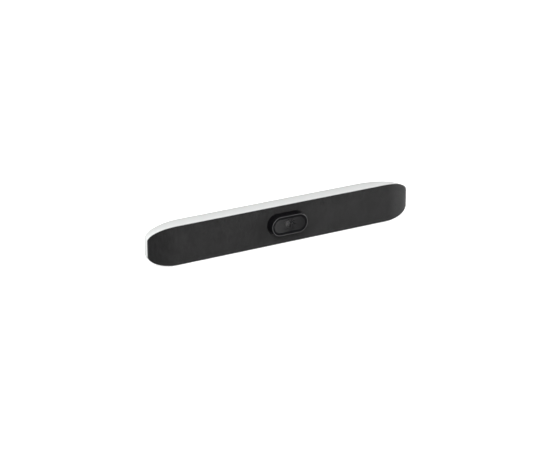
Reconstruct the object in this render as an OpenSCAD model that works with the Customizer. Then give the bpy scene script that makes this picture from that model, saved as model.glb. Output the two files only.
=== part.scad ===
// Conference camera bar: a long low body with a fabric front, a camera pod that
// stands out of its middle, a loudspeaker towards each end and sockets at the back.
// Millimetres. X runs along the bar, the front faces -Y, Z is up.
// The origin is the middle of the footprint, at table height.

/* [Body] */
// Length of the bar
body_w = 492; // [480:1:540]
// Height of the bar above its plinths
body_h = 64; // [62:1:70]
// Depth of the bar behind its fabric front
body_d = 58; // [56:1:66]
// Wall of the rear housing
wall = 2.4; // [2:0.1:3]
// Fall of the housing's top from front to back
top_fall = 14.4; // [8:0.2:16]
// Rise of the housing's underside from front to back
bottom_rise = 5; // [3:0.2:7]
// How far each end of the housing draws in towards the back
end_inset = 65; // [50:1:70]

/* [Front cover] */
// Length of each rounded corner along the bar
corner_w = 48; // [36:1:60]
// Height of each rounded corner
corner_h = 19.5; // [14:0.5:24]
// Length of the swept-back stretch at each end
sweep_w = 42.5; // [34:0.5:60]
// How far each end sweeps back
sweep_d = 9.8; // [7:0.2:12]
// Thickness of the fabric with its backing foam
cloth_t = 0.8; // [0.6:0.1:1.2]
// Depth of the fabric's turned edge
rim_d = 3; // [2.4:0.1:4]
// Radius of the fabric's front edge
edge_r = 1.2; // [0.8:0.1:1.8]
// Thickness of the moulded carrier behind the fabric
carrier_t = 3; // [2.6:0.1:4]
// Depth of the carrier's skirt inside the housing
skirt_d = 5; // [4:0.5:7]
// Thickness of that skirt
skirt_t = 1.6; // [1.2:0.1:2.2]
// Shadow gap between the fabric's edge and the housing
rim_gap = 0.4; // [0.3:0.1:0.6]

/* [Camera pod] */
// Length of the pod
pod_w = 68; // [66:1:76]
// Height of the pod
pod_h = 33; // [32:0.5:37]
// Rise of the pod above the middle of the front
pod_rise = 2.5; // [0:0.5:4]
// How far the pod stands out of the fabric
pod_out = 13.5; // [12:0.5:18]
// Wall of the pod
pod_wall = 1.6; // [1.2:0.1:2]
// Length of the window
window_w = 62; // [56:0.5:64]
// Height of the window
window_h = 24; // [22:0.5:27]
// Thickness of the window
window_t = 1.5; // [1:0.1:2]
// Depth of the window behind the pod's face
window_set = 0.8; // [0.4:0.1:1.4]
// Radius of the lens barrel
barrel_r = 6; // [5:0.1:6.4]

/* [Loudspeakers] */
// Height left above and below each driver's frame
driver_in = 10; // [9.5:0.5:13]
// Depth of each loudspeaker box
box_d = 34; // [30:1:36]
// Wall of each loudspeaker box
box_wall = 1.6; // [1.2:0.1:2.2]
// Travel of each cone to either side of rest
cone_travel = 1; // [0.6:0.1:1.2]

/* [Electronics] */
// Length of the main board
board_w = 160; // [150:1:170]
// Room above and below the main board, where the housing is lowest
board_room = 0.9; // [0.5:0.1:1.5]
// Thickness of the main board
board_t = 1.6; // [1.2:0.1:2]
// Length of the recessed socket panel
panel_w = 96; // [92:1:110]
// Height of the board that the socket panel leaves free above and below
panel_in = 7; // [6.5:0.5:8]
// Depth of the recess in front of the sockets
pocket_d = 9; // [7:0.5:11]

/* [Mounting] */
// Distance between the two threaded inserts for a wall bracket
wall_mount_pitch = 200; // [196:1:240]
// Radius of the wall inserts' thread
wall_thread_r = 2; // [1.5:0.25:2.5]
// Radius of the tripod insert's thread
tripod_thread_r = 3; // [2.5:0.1:3.2]
// Distance of the tripod insert behind the fabric front
tripod_in = 26; // [22:1:30]
// Height of the rubber pads below the plinths
foot_t = 1.2; // [0.8:0.1:2]
// Height of the plinths below the body
plinth_t = 0.4; // [0.2:0.1:1]

/* [Hidden] */
$fn = 48;

// Steps and shares of the lofted shells
corner_steps = 10;
shell_steps = 9;
edge_steps = 3;
right_angle = 90;
half_turn = 180;
sweep_power_share = 1.55;

// One overrun serves all cuts
overrun = 1;
// Room left beyond the end of a travel
end_room = 0.5;
// Clearance between parts that slip together
slip = 0.2;
// Running clearance of small pins
running = 0.05;

// Screws: a larger one for the housing, a smaller one for boards and frames
screw_r = 1.45;
screw_head_r = 2.7;
screw_head_t = 1.8;
screw_bite = 7;
small_screw_r = 0.95;
small_head_r = 1.8;
small_head_t = 1.2;
small_bite = 4;
drive_depth_share = 0.6;
drive_width_share = 0.5;
drive_sides = 6;

// Places along Z and Y
plinth_z = foot_t;
body_z = plinth_z + plinth_t;
top_z = body_z + body_h;
mid_z = body_z + body_h / 2;
pod_z = mid_z + pod_rise;
half_w = body_w / 2;
front_y = (pod_out - body_d) / 2;
back_y = front_y + body_d;
inner_back_y = back_y - wall;
rim_y = front_y + rim_d + rim_gap;
seat_y = front_y + cloth_t + carrier_t;
back_mid_z = (top_z - top_fall + body_z + bottom_rise) / 2;

// Board and socket panel, within the lowest stretch of the housing
board_h = body_h - top_fall - bottom_rise - 2 * (wall + board_room);
panel_h = board_h - 2 * panel_in;

// Camera stack, from the pod's face backwards
ledge_w = 2.2;
ledge_t = 1.4;
gasket_w = 1.6;
gasket_t = 0.3;
hood_t = 2.5;
hood_mouth_r = 10;
blade_t = 0.6;
blade_gap = 0.2;
guide_t = 1.6;
pod_edge = 1.2;
flange_w = 4.5;
flange_t = 2;
bracket_t = 1.5;
standoff_l = 5;
standoff_r = 2;
camera_board_w = 36;
camera_board_h = 22;
camera_board_t = 1.2;
barrel_set = 0.3;
sensor_room = 4;
holder_l = 8;
holder_wall = 1.6;
holder_base = 16;
holder_base_t = 3.2;
filter_w = 10;
filter_t = 0.4;
filter_room = 2.6;
sensor_w = 8;
sensor_h = 7;
sensor_t = 1;
lens_t = 1.6;
lens_rim = 0.9;
clamp_r = 2;
face_y = front_y - pod_out;
window_y = face_y + window_set;
gasket_y = window_y + window_t;
ledge_y = gasket_y + gasket_t;
hood_y = ledge_y + ledge_t;
blade_y = hood_y + hood_t + blade_gap;
guide_y = blade_y + blade_t + blade_gap;
guide_back_y = guide_y + guide_t;
barrel_y = guide_y + barrel_set;
bracket_y = seat_y + flange_t;
camera_board_y = bracket_y + bracket_t + standoff_l;
inner_pod_w = pod_w - 2 * pod_wall;
inner_pod_h = pod_h - 2 * pod_wall;
clamp_x = inner_pod_w / 2 - inner_pod_h / 5;

// Shutter drive: a rack on the blade and a pinion on the motor's shaft
gear_module = 0.4;
pinion_teeth = 12;
pressure_angle = 20;
backlash = 0.12;
rack_addendum_share = 0.7;
pinion_addendum_share = 1;
root_share = 1.25;
tooth_share = 0.5;
gear_pitch = PI * gear_module;
pinion_r = gear_module * pinion_teeth / 2;
blade_margin = 0.6;
blade_half = barrel_r + blade_margin;
shutter_travel = 2 * blade_half + 2 * blade_margin + 0.1 * gear_module;
arm_h = 1.2;
rack_pitch_z = blade_half + arm_h + root_share * gear_module;
pinion_z = pod_z - rack_pitch_z - pinion_r;
arm_reach = 2.5 * gear_pitch;
shaft_r = 0.5;
motor_r = 3;
motor_l = 8;
shaft_in = 6;
rail_h = 1.2;
rail_gap = 0.3;

// Loudspeakers
driver_d = body_h - 2 * driver_in;
speaker_gasket_t = 1.2;
driver_flange_t = 1.2;
driver_flange_w = 2.6;
basket_wall = 1;
basket_l = 7;
basket_plate_t = 1.2;
magnet_r_share = 0.64;
magnet_l = 8.8;
magnet_base_t = 2;
coil_r = 7;
coil_t = 0.5;
coil_gap = 0.4;
cone_t = 0.5;
cone_set = 1.6;
neck_set = basket_l - cone_t - cone_travel;
dome_set = 2.8;
surround_w = 2.9;
surround_t = 0.4;
surround_gap = 0.3;
baffle_t = 2;
box_lid_t = 1.6;
box_corner_r = 3;
box_screw_in = 5;
box_air = 1.5;
driver_r = driver_d / 2;
frame_in_r = driver_r - driver_flange_w;
driver_y = seat_y + speaker_gasket_t;
baffle_y = driver_y + driver_flange_t;
box_back_y = baffle_y + box_d;
cone_r = frame_in_r - surround_w - surround_gap;
magnet_h0 = basket_l + basket_plate_t;
magnet_r = driver_r * magnet_r_share;
coil_l = magnet_h0 + magnet_l - magnet_base_t - neck_set - cone_travel - end_room;
slot_w = 4;
slot_pitch_share = 0.32;
slot_pitch = driver_r * slot_pitch_share;
slot_reach = 2;
slot_inset = 0.5;

// Bosses and places along the bar
boss_r = 4.6;
boss_floor_t = 3;
boss_gap = 1.4;
boss_in = 3;
boss_rise = board_h / 2 - boss_in;
end_boss_in = 46;
post_r = 3;
pilot_l = 8;
carrier_post_l = 10;
inner_boss_x = board_w / 2 + boss_gap + boss_r;
outer_boss_x = half_w - end_boss_in;
boss_y = seat_y + carrier_post_l;
box_x0 = inner_boss_x + boss_r + boss_gap;
box_x1 = outer_boss_x - boss_r - 2 * boss_gap;
speaker_x = (box_x0 + box_x1) / 2;
speaker_box_w = box_x1 - box_x0;

// Microphone boards
mic_board_w = 34;
mic_board_h = 12;
mic_board_t = 1;
mic_gasket_t = 1;
mic_gasket_corner = 1;
mic_hole_r = 0.7;
mic_seal_r = 1.3;
mic_spread = 20;
mic_can_w = 3.8;
mic_can_h = 3;
mic_can_t = 1.1;
mic_gap = 3;
mic_x = pod_w / 2 + flange_w + mic_gap + mic_board_w / 2;

// Main board and what stands on it
floor_t = 1.6;
panel_wall = 1.6;
panel_corner_r = 4;
panel_lip_w = 3;
panel_lip_t = 1.2;
panel_set = 0.2;
socket_back_l = 8;
socket_proud = 0.6;
floor_y = back_y - pocket_d;
floor_in_y = floor_y - floor_t;
board_back_y = floor_in_y - socket_back_l;
board_y = board_back_y - board_t;
socket_l = floor_y + socket_proud - board_back_y;
board_corner_r = 2;
board_hole_in_x = 5;
board_hole_in_z = 4;
board_hole_x = board_w / 2 - board_hole_in_x;
board_hole_z = board_h / 2 - board_hole_in_z;
sink_w_share = 0.35;
sink_edge = 7;
sink_margin = 6;
sink_w = board_w * sink_w_share;
sink_h = board_h - 2 * sink_margin;
sink_x = board_w / 2 - sink_w / 2 - sink_edge;
sink_base_t = 2;
fin_l = 8;
fin_t = 1;
fins = 10;
sink_leg_r = 2.2;
sink_leg_in = 3;
chip_w = 16;
chip_t = 1.4;
pad_t = 0.5;
memory_w = 9;
memory_h = 12;
memory_t = 1;
memory_gap = 2.5;
codec_w = 8;
can_w = 24;
can_h = 18;
can_edge = 10;
can_room = 12;
chip_room = 8;
can_x = can_edge + can_w / 2 - board_w / 2;
codec_x = can_x + (can_w + codec_w) / 2 + can_room;
power_x = codec_x + codec_w + chip_room;
power_rise = board_h / 4;
can_t = 2.4;
can_wall = 0.3;
radio_w = 12;
flex_w = 10;
flex_t = 0.3;
flex_plug_t = 1.2;
flex_plug_h = 3;
flex_drop = 5;
flex_slack = 3;
flex_steps = 16;
lead_r = 0.8;
lead_plug_w = 4;
lead_plug_h = 6;
lead_plug_t = 3;
lead_x = board_w / 2 - lead_plug_w / 2 - running;
lead_y = baffle_y + box_d / 2;
antenna_t = 0.8;
antenna_w = 12;
antenna_h = 30;

// Sockets along the panel
dc_x = -36;
usb_c_x = -20;
hdmi_x = 0;
usb_a_x = 20;
reset_x = 36;
dc_w = 9;
dc_bore_r = 3.1;
dc_pin_r = 1;
dc_depth = 7.5;
usb_c_w = 8.94;
usb_c_h = 3.26;
usb_c_depth = 6.2;
usb_c_tongue_w = 6.7;
usb_c_tongue_h = 0.7;
shell_t = 0.35;
hdmi_w = 15;
hdmi_h = 6;
hdmi_chamfer = 1.6;
hdmi_depth = 7;
hdmi_tongue_w = 11.6;
hdmi_tongue_h = 1.6;
usb_a_w = 13.2;
usb_a_h = 5.8;
usb_a_depth = 7.4;
usb_a_tongue_w = 11.2;
usb_a_tongue_h = 1.9;
usb_a_tongue_rise = 1;
tongue_set = 0.8;
button_r = 2;
button_collar_r = 3;
button_collar_t = 1;
button_gap = 0.3;
button_proud = 0.8;
button_travel = 0.5;
stem_r = 1.5;
stem_in = 2;
switch_w = 6;
switch_l = 3.5;
switch_bore_l = stem_in + button_travel + end_room;

// Housing details
insert_wall = 1;
insert_l = 8;
insert_boss_wall = 2.5;
insert_boss_l = 10;
tripod_wall = 1.4;
tripod_l = 9;
tripod_boss_wall = 2.6;
tripod_boss_l = 12;
plinth_w = 60;
plinth_in = 6;
plinth_d = 42;
plinth_x = 150;
tripod_plinth_w = 40;
foot_w = 44;
foot_d = 9;
foot_in = 5;
foot_recess = 0.8;
vent_w = 1.6;
vent_h = 14;
vent_pitch = 4;
vents = 6;
vent_gap = 5;
label_w = 40;
label_h = 18;
label_t = 0.3;
label_recess = 0.5;
label_x = 150;
label_corner_r = 2;

// How far a column of the outline sweeps back, by its distance from the middle
function sweep_at(x) =
    let (share = min(1, max(0, (x - half_w + sweep_w) / sweep_w)))
    sweep_d * (1 - pow(1 - pow(share, sweep_power_share), 1 / sweep_power_share));

// Distance of column i from the end of an outline whose corners span a length
function column_in(i, span) = span * (1 - sin(right_angle * i / corner_steps));

// Height lost at a distance from the end of a corner rx long and rz high
function corner_drop(from_end, rx, rz) =
    from_end >= rx ? 0 : rz * (1 - sqrt(1 - pow(1 - from_end / rx, 2)));

// One outline of the body: inset all round, tapered by a share of the falls, and
// placed between its swept seat (y_seat behind the front) and a plane at y_end
function outline(inset, taper, y_seat, y_end, along) =
    let (
        span = max(corner_w, sweep_w),
        w = half_w - inset - end_inset * taper,
        z1 = top_z - inset - top_fall * taper,
        z0 = body_z + inset + bottom_rise * taper,
        rx = corner_w - inset,
        rz = (corner_h - inset) * (z1 - z0) / (body_h - 2 * inset),
        column = [for (i = [0 : corner_steps])
            let (from_end = column_in(i, span - inset))
            [w - from_end,
             (front_y + y_seat + sweep_at(half_w - inset - from_end)) * (1 - along)
                + y_end * along,
             corner_drop(from_end, rx, rz)]])
    concat(
        [for (i = [0 : corner_steps]) [column[i][0], column[i][1], z1 - column[i][2]]],
        [for (i = [corner_steps : -1 : 0]) [column[i][0], column[i][1], z0 + column[i][2]]],
        [for (i = [0 : corner_steps]) [-column[i][0], column[i][1], z0 + column[i][2]]],
        [for (i = [corner_steps : -1 : 0]) [-column[i][0], column[i][1], z1 - column[i][2]]]);

// Triangles that close one outline, column by column; first is its first point
function cap(first, flip) =
    let (
        n = corner_steps,
        total = 4 * (n + 1),
        quads = concat(
            [for (i = [0 : n - 1]) [i, i + 1, 2 * n - i, 2 * n + 1 - i]],
            [for (i = [0 : n - 1])
                [total - 2 - i, total - 1 - i, 2 * n + 2 + i, 2 * n + 3 + i]],
            [[total - 1, 0, 2 * n + 1, 2 * n + 2]]))
    [for (q = quads, t = [[q[0], q[1], q[2]], [q[0], q[2], q[3]]])
        flip ? [first + t[2], first + t[1], first + t[0]]
             : [first + t[0], first + t[1], first + t[2]]];

// A closed solid through a row of outlines, listed from its inner or rear end
module loft(outlines) {
    n = len(outlines[0]);
    m = len(outlines);
    sides = [for (j = [0 : m - 2], i = [0 : n - 1])
        let (a = j * n + i, b = j * n + (i + 1) % n)
        each [[a, b, b + n], [a, b + n, a + n]]];
    polyhedron(
        points = [for (ring = outlines, p = ring) p],
        faces = concat(cap(0, true), sides, cap((m - 1) * n, false)));
}

// Share of the way from the rim to the back wall, and the taper there
function taper_of(along) = 1 - sqrt(1 - pow(along, 2));
function along_at(y) = (y - rim_y) / (inner_back_y - rim_y);
function ceiling_at(y) = top_z - wall - top_fall * taper_of(along_at(y));
function floor_at(y) = body_z + wall + bottom_rise * taper_of(along_at(y));

// Height that a loudspeaker box has, from the housing's slope at the box's back
speaker_box_h = 2 * (min(ceiling_at(box_back_y) - mid_z, mid_z - floor_at(box_back_y))
    - box_air);

// Outlines of the housing, from the back wall to the rim
function shell_outlines(inset, y_end) =
    [for (j = [shell_steps : -1 : 0])
        let (turn = right_angle * j / shell_steps)
        outline(inset, 1 - cos(turn), rim_d + rim_gap, y_end, sin(turn))];

// A flat shape drawn in X and Z, t thick, with its front face at y
module slab(y, t)
    translate([0, y + t, 0]) rotate([right_angle, 0, 0]) linear_extrude(t) children();

// A round bar along Y
module rod(x, z, y, r, l)
    translate([x, y + l, z]) rotate([right_angle, 0, 0]) cylinder(r = r, h = l);

// A turned part about an axis along Y, drawn as radius and distance behind y
module turned(x, z, y)
    translate([x, y, z]) rotate([-right_angle, 0, 0]) rotate_extrude() children();

// A long shape with half-round ends
module pill(w, h) {
    square([w - h, h], center = true);
    for (side = [-1, 1]) translate([side * (w - h) / 2, 0]) circle(d = h);
}

// A rectangle with rounded corners
module panel(w, h, r) {
    square([w - 2 * r, h], center = true);
    square([w, h - 2 * r], center = true);
    for (x = [-1, 1], z = [-1, 1])
        translate([x * (w / 2 - r), z * (h / 2 - r)]) circle(r = r);
}

// A screw along Y whose head sits on the plane y; way is 1 where it points backwards
module screw(x, z, y, l, way, r, head_r, head_t) {
    drive_t = head_t * drive_depth_share;
    difference() {
        union() {
            rod(x, z, way < 0 ? y - l : y, r, l);
            rod(x, z, way < 0 ? y : y - head_t, head_r, head_t);
        }
        translate([x, way < 0 ? y + head_t + overrun : y - head_t + drive_t, z])
            rotate([right_angle, 0, 0])
                cylinder(r = head_r * drive_width_share, h = drive_t + overrun,
                         $fn = drive_sides);
    }
}

module small_screw(x, z, y, l, way)
    screw(x, z, y, l, way, small_screw_r, small_head_r, small_head_t);

// Places of the six housing screws
function housing_screw_places() = concat(
    [for (x = [-1, 1], z = [-1, 1]) [x * inner_boss_x, back_mid_z + z * boss_rise]],
    [for (x = [-1, 1]) [x * outer_boss_x, back_mid_z]]);

// Places of the loudspeaker boxes' corner screws
function box_screw_places() =
    [for (side = [-1, 1], x = [-1, 1], z = [-1, 1])
        [side * speaker_x + x * (speaker_box_w / 2 - box_screw_in),
         mid_z + z * (speaker_box_h / 2 - box_screw_in)]];

// Places of the screws that hold the pod and its bracket to the carrier
function bezel_screw_places() =
    [for (x = [-1, 1], z = [-1, 1])
        [x * (pod_w - pod_h) / 2, pod_z + z * (pod_h / 2 + flange_w / 2)]];

// Places of the camera board's screws
function camera_screw_places() =
    [for (x = [-1, 1], z = [-1, 1])
        [x * (camera_board_w / 2 - 2 * standoff_r),
         pod_z + z * (camera_board_h / 2 - 1.5 * standoff_r)]];

// Places of the main board's screws
function board_screw_places() =
    [for (x = [-1, 1], z = [-1, 1]) [x * board_hole_x, back_mid_z + z * board_hole_z]];

// Places of the heat sink's legs
function sink_leg_places() =
    [for (x = [-1, 1], z = [-1, 1])
        [sink_x + x * (sink_w / 2 - sink_leg_in), back_mid_z + z * (sink_h / 2 - sink_leg_in)]];

module housing_bosses() {
    for (p = housing_screw_places()) rod(p[0], p[1], boss_y, boss_r, back_y - boss_y);
    for (p = board_screw_places())
        rod(p[0], p[1], board_back_y, post_r, back_y - board_back_y);
    for (x = [-1, 1])
        rod(x * wall_mount_pitch / 2, back_mid_z, back_y - insert_boss_l,
            wall_thread_r + insert_wall + insert_boss_wall, insert_boss_l);
    translate([0, front_y + tripod_in, plinth_z])
        cylinder(r = tripod_thread_r + tripod_wall + tripod_boss_wall, h = tripod_boss_l);
}

module housing_holes() {
    for (p = housing_screw_places()) {
        rod(p[0], p[1], boss_y - overrun, screw_r + running, back_y - boss_y);
        rod(p[0], p[1], boss_y + boss_floor_t, screw_head_r + slip, back_y - boss_y);
    }
    for (p = board_screw_places())
        rod(p[0], p[1], board_back_y - overrun, small_screw_r + running, pilot_l + overrun);
    for (x = [-1, 1])
        rod(x * wall_mount_pitch / 2, back_mid_z, back_y - insert_l,
            wall_thread_r + insert_wall, insert_l + overrun);
    translate([0, front_y + tripod_in, plinth_z - overrun])
        cylinder(r = tripod_thread_r + tripod_wall, h = tripod_l + overrun);
    translate([0, 0, back_mid_z])
        slab(inner_back_y - overrun, wall + 2 * overrun)
            panel(panel_w + 2 * slip, panel_h + 2 * slip, panel_corner_r + slip);
    for (side = [-1, 1], i = [0 : vents - 1])
        translate([side * (panel_w / 2 + panel_lip_w + vent_gap + i * vent_pitch), 0,
                   back_mid_z])
            slab(inner_back_y - overrun, wall + 2 * overrun) square([vent_w, vent_h], true);
    translate([label_x, 0, back_mid_z])
        slab(back_y - label_recess, label_recess + overrun)
            panel(label_w + 2 * slip, label_h + 2 * slip, label_corner_r);
    for (x = [-1, 1], y = [0, 1]) foot_block(x, y, foot_recess, slip, overrun);
}

// One rubber pad, or the recess that takes it: back picks the rear row
module foot_block(side, back, rise, gap, below) {
    far = plinth_d - foot_in - foot_d;
    translate([side * plinth_x - foot_w / 2 - gap,
               front_y + plinth_in + (back == 1 ? far : foot_in) - gap,
               plinth_z - below])
        cube([foot_w + 2 * gap, foot_d + 2 * gap, rise + below]);
}

module plinths() {
    back = plinth_in + plinth_d;
    rise = plinth_t + bottom_rise * taper_of(along_at(front_y + back)) + wall / 2;
    for (p = [[-plinth_x, plinth_w], [0, tripod_plinth_w], [plinth_x, plinth_w]])
        translate([p[0] - p[1] / 2, front_y + plinth_in, plinth_z])
            cube([p[1], plinth_d, rise]);
}

module rear_housing() color("whitesmoke") difference() {
    union() {
        loft(shell_outlines(0, back_y));
        plinths();
    }
    difference() {
        loft(concat(shell_outlines(wall, inner_back_y),
                    [outline(wall, 0, rim_d - sweep_d - overrun, inner_back_y, 0)]));
        housing_bosses();
    }
    housing_holes();
}

module front_carrier() color("dimgray") difference() {
    first = right_angle / shell_steps;
    share = skirt_d / ((inner_back_y - rim_y) * sin(first));
    along = share * sin(first);
    taper = share * (1 - cos(first));
    skirt = wall + slip;
    union() {
        loft([
            outline(skirt + skirt_t, 0, cloth_t + carrier_t, 0, 0),
            outline(skirt + skirt_t, taper, rim_d, inner_back_y, along),
            outline(skirt, taper, rim_d, inner_back_y, along),
            outline(skirt, 0, rim_d, 0, 0),
            outline(cloth_t, 0, rim_d, 0, 0),
            outline(cloth_t, 0, cloth_t, 0, 0)]);
        for (p = housing_screw_places())
            rod(p[0], p[1], seat_y - carrier_t / 2, post_r, carrier_post_l + carrier_t / 2);
        for (p = box_screw_places())
            rod(p[0], p[1], seat_y - carrier_t / 2, post_r,
                baffle_y - seat_y + carrier_t / 2);
    }
    for (p = housing_screw_places())
        rod(p[0], p[1], boss_y - pilot_l, screw_r + running, pilot_l + overrun);
    for (p = box_screw_places())
        rod(p[0], p[1], baffle_y - small_bite, small_screw_r + running,
            small_bite + overrun);
    for (p = bezel_screw_places())
        rod(p[0], p[1], seat_y - carrier_t * drive_depth_share, small_screw_r + running,
            carrier_t);
    translate([0, 0, pod_z])
        slab(front_y - overrun, cloth_t + carrier_t + 2 * overrun)
            pill(pod_w + 2 * slip, pod_h + 2 * slip);
    for (side = [-1, 1]) {
        for (i = [-slot_reach : slot_reach])
            translate([side * speaker_x + i * slot_pitch, 0, mid_z])
                slab(front_y - overrun, cloth_t + carrier_t + 2 * overrun)
                    rotate(right_angle)
                        pill(2 * sqrt(pow(frame_in_r - slot_inset, 2)
                                      - pow(i * slot_pitch, 2)), slot_w);
        for (x = [-1, 1])
            rod(side * mic_x + x * mic_spread / 2, mid_z, front_y - overrun, mic_hole_r,
                cloth_t + carrier_t + 2 * overrun);
    }
}

module grille_cloth() color("#3a3b3d") difference() {
    loft(concat(
        [outline(cloth_t, 0, cloth_t, 0, 0),
         outline(cloth_t, 0, rim_d - slip, 0, 0),
         outline(0, 0, rim_d - slip, 0, 0)],
        [for (j = [edge_steps : -1 : 0])
            let (turn = right_angle * j / edge_steps)
            outline(edge_r * (1 - sin(turn)), 0, edge_r * (1 - cos(turn)), 0, 0)]));
    translate([0, 0, pod_z])
        slab(front_y - overrun, cloth_t + 2 * overrun)
            pill(pod_w + 2 * slip, pod_h + 2 * slip);
}

// A pill whose front edge is chamfered all round
module chamfered_pill(w, h, y, l, edge) {
    translate([0, 0, pod_z]) slab(y + edge, l - edge) pill(w, h);
    for (side = [-1, 1])
        translate([side * (w - h) / 2, y, pod_z]) rotate([-right_angle, 0, 0])
            cylinder(r1 = h / 2 - edge, r2 = h / 2, h = edge);
    translate([-(w - h) / 2, y, pod_z]) rotate([right_angle, 0, right_angle])
        linear_extrude(w - h)
            polygon([[0, edge - h / 2], [0, h / 2 - edge], [edge, h / 2], [edge, -h / 2]]);
}

module camera_bezel() color("#151517") difference() {
    union() {
        chamfered_pill(pod_w, pod_h, face_y, seat_y + flange_t - face_y, pod_edge);
        translate([0, 0, pod_z])
            slab(seat_y, flange_t) pill(pod_w + 2 * flange_w, pod_h + 2 * flange_w);
    }
    translate([0, 0, pod_z]) {
        slab(face_y - overrun, ledge_y - face_y + overrun)
            pill(window_w + 2 * running, window_h + 2 * running);
        slab(face_y, hood_y - face_y + overrun)
            pill(window_w - 2 * ledge_w, window_h - 2 * ledge_w);
        slab(hood_y, bracket_y - hood_y + overrun) pill(inner_pod_w, inner_pod_h);
    }
    for (p = bezel_screw_places())
        rod(p[0], p[1], seat_y - overrun, small_screw_r + running, flange_t + 2 * overrun);
}

module camera_window() color("#1c1e22", 0.8)
    translate([0, 0, pod_z])
        slab(window_y, window_t) pill(window_w - 2 * running, window_h - 2 * running);

module window_gasket() color("black")
    translate([0, 0, pod_z]) slab(gasket_y, gasket_t) difference() {
        pill(window_w - 2 * running, window_h - 2 * running);
        pill(window_w - 2 * gasket_w, window_h - 2 * gasket_w);
    }

module lens_hood() color("#202124") difference() {
    translate([0, 0, pod_z])
        slab(hood_y, hood_t) pill(inner_pod_w - 2 * slip, inner_pod_h - 2 * slip);
    translate([0, hood_y, pod_z]) rotate([-right_angle, 0, 0])
        cylinder(r1 = hood_mouth_r, r2 = barrel_r - blade_margin, h = hood_t);
    translate([0, 0, pod_z]) slab(hood_y - overrun, hood_t + 2 * overrun)
        circle(r = barrel_r - blade_margin);
}

module shutter_blade() color("#303238") {
    x = shutter_travel;
    root_z = pod_z - blade_half - arm_h;
    tip = rack_addendum_share * gear_module;
    root = root_share * gear_module;
    half_tooth = (gear_pitch - backlash) / 4;
    slope = tan(pressure_angle);
    slab(blade_y, blade_t) translate([x - blade_half, pod_z - blade_half])
        square(2 * blade_half);
    slab(blade_y, blade_t) translate([-arm_reach, root_z])
        square([x + 2 * arm_reach, arm_h + blade_margin]);
    for (k = [-2 : floor((x + arm_reach) / gear_pitch) - 1])
        slab(blade_y, blade_t)
            translate([(k + tooth_share) * gear_pitch, pod_z - rack_pitch_z])
                polygon([
                    [-half_tooth - root * slope, root], [-half_tooth - root * slope, arm_h],
                    [half_tooth + root * slope, arm_h], [half_tooth + root * slope, root],
                    [half_tooth - tip * slope, -tip], [-half_tooth + tip * slope, -tip]]);
}

module shutter_guide() color("#2a2c30") {
    translate([0, 0, pod_z]) difference() {
        slab(guide_y, guide_t) pill(inner_pod_w - 2 * slip, inner_pod_h - 2 * slip);
        rod(0, 0, guide_y - overrun, barrel_r + slip, guide_t + 2 * overrun);
        rod(0, pinion_z - pod_z, guide_y - overrun, shaft_r + slip, guide_t + 2 * overrun);
    }
    rail_x = clamp_x;
    open_x = pinion_r + gear_module * pinion_addendum_share + slip;
    low_z = pod_z - rack_pitch_z - rack_addendum_share * gear_module - rail_gap - rail_h;
    slab(blade_y - blade_gap, guide_y - blade_y + blade_gap) {
        translate([-rail_x / 2, pod_z + blade_half + rail_gap]) square([1.5 * rail_x, rail_h]);
        for (side = [0, 1])
            translate([side == 0 ? open_x : -rail_x + rail_h, low_z])
                square([rail_x - open_x - rail_h, rail_h]);
    }
}

// Half angle of a pinion tooth at radius r, thinning outwards as an involute does
function involute(cos_share) = tan(acos(cos_share)) - acos(cos_share) * PI / half_turn;
function tooth_angle(r, base_r) =
    (gear_pitch - backlash) / 4 / pinion_r * half_turn / PI
    + (involute(base_r / pinion_r) - involute(min(1, base_r / r))) * half_turn / PI;

module drive_pinion() color("gold") {
    base_r = pinion_r * cos(pressure_angle);
    root_r = pinion_r - root_share * gear_module;
    tip_r = pinion_r + pinion_addendum_share * gear_module;
    flank = [root_r, base_r, (base_r + tip_r) / 2, tip_r];
    difference() {
        union() {
            rod(0, pinion_z, blade_y, root_r + running, blade_t);
            for (k = [0 : pinion_teeth - 1])
                slab(blade_y, blade_t) translate([0, pinion_z])
                    rotate(right_angle + k * 2 * half_turn / pinion_teeth)
                        polygon(concat(
                            [for (r = flank) let (a = tooth_angle(max(r, base_r), base_r))
                                [r * cos(a), r * sin(a)]],
                            [for (j = [len(flank) - 1 : -1 : 0])
                                let (r = flank[j], a = tooth_angle(max(r, base_r), base_r))
                                [r * cos(a), -r * sin(a)]],
                            [[0, 0]]));
        }
        rod(0, pinion_z, blade_y - overrun, shaft_r, blade_t + 2 * overrun);
    }
}

module motor_shaft() color("silver")
    rod(0, pinion_z, blade_y, shaft_r, guide_back_y + shaft_in - blade_y);

module shutter_motor() color("slategray") difference() {
    rod(0, pinion_z, guide_back_y, motor_r, motor_l);
    rod(0, pinion_z, guide_back_y - overrun, shaft_r + running, shaft_in + 1.5 * overrun);
}

module lens_barrel() color("#1a1a1c") {
    l = camera_board_y - sensor_room - barrel_y;
    turned(0, pod_z, barrel_y) polygon([
        [barrel_r - lens_rim, 0], [barrel_r, 0], [barrel_r, l], [barrel_r - lens_rim, l],
        [barrel_r - lens_rim, l - lens_t], [barrel_r - 2 * lens_rim, l - lens_t],
        [barrel_r - 2 * lens_rim, 2 * lens_t], [barrel_r - lens_rim, 2 * lens_t]]);
}

module front_lens() color("#4a5a78", 0.7) {
    r = barrel_r - lens_rim;
    turned(0, pod_z, barrel_y) polygon(concat(
        [for (j = [0 : edge_steps * 2])
            let (turn = right_angle * j / (edge_steps * 2))
            [r * sin(turn), running + lens_t * (1 - cos(turn))]],
        [[r, 2 * lens_t], [0, 2 * lens_t]]));
}

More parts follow.
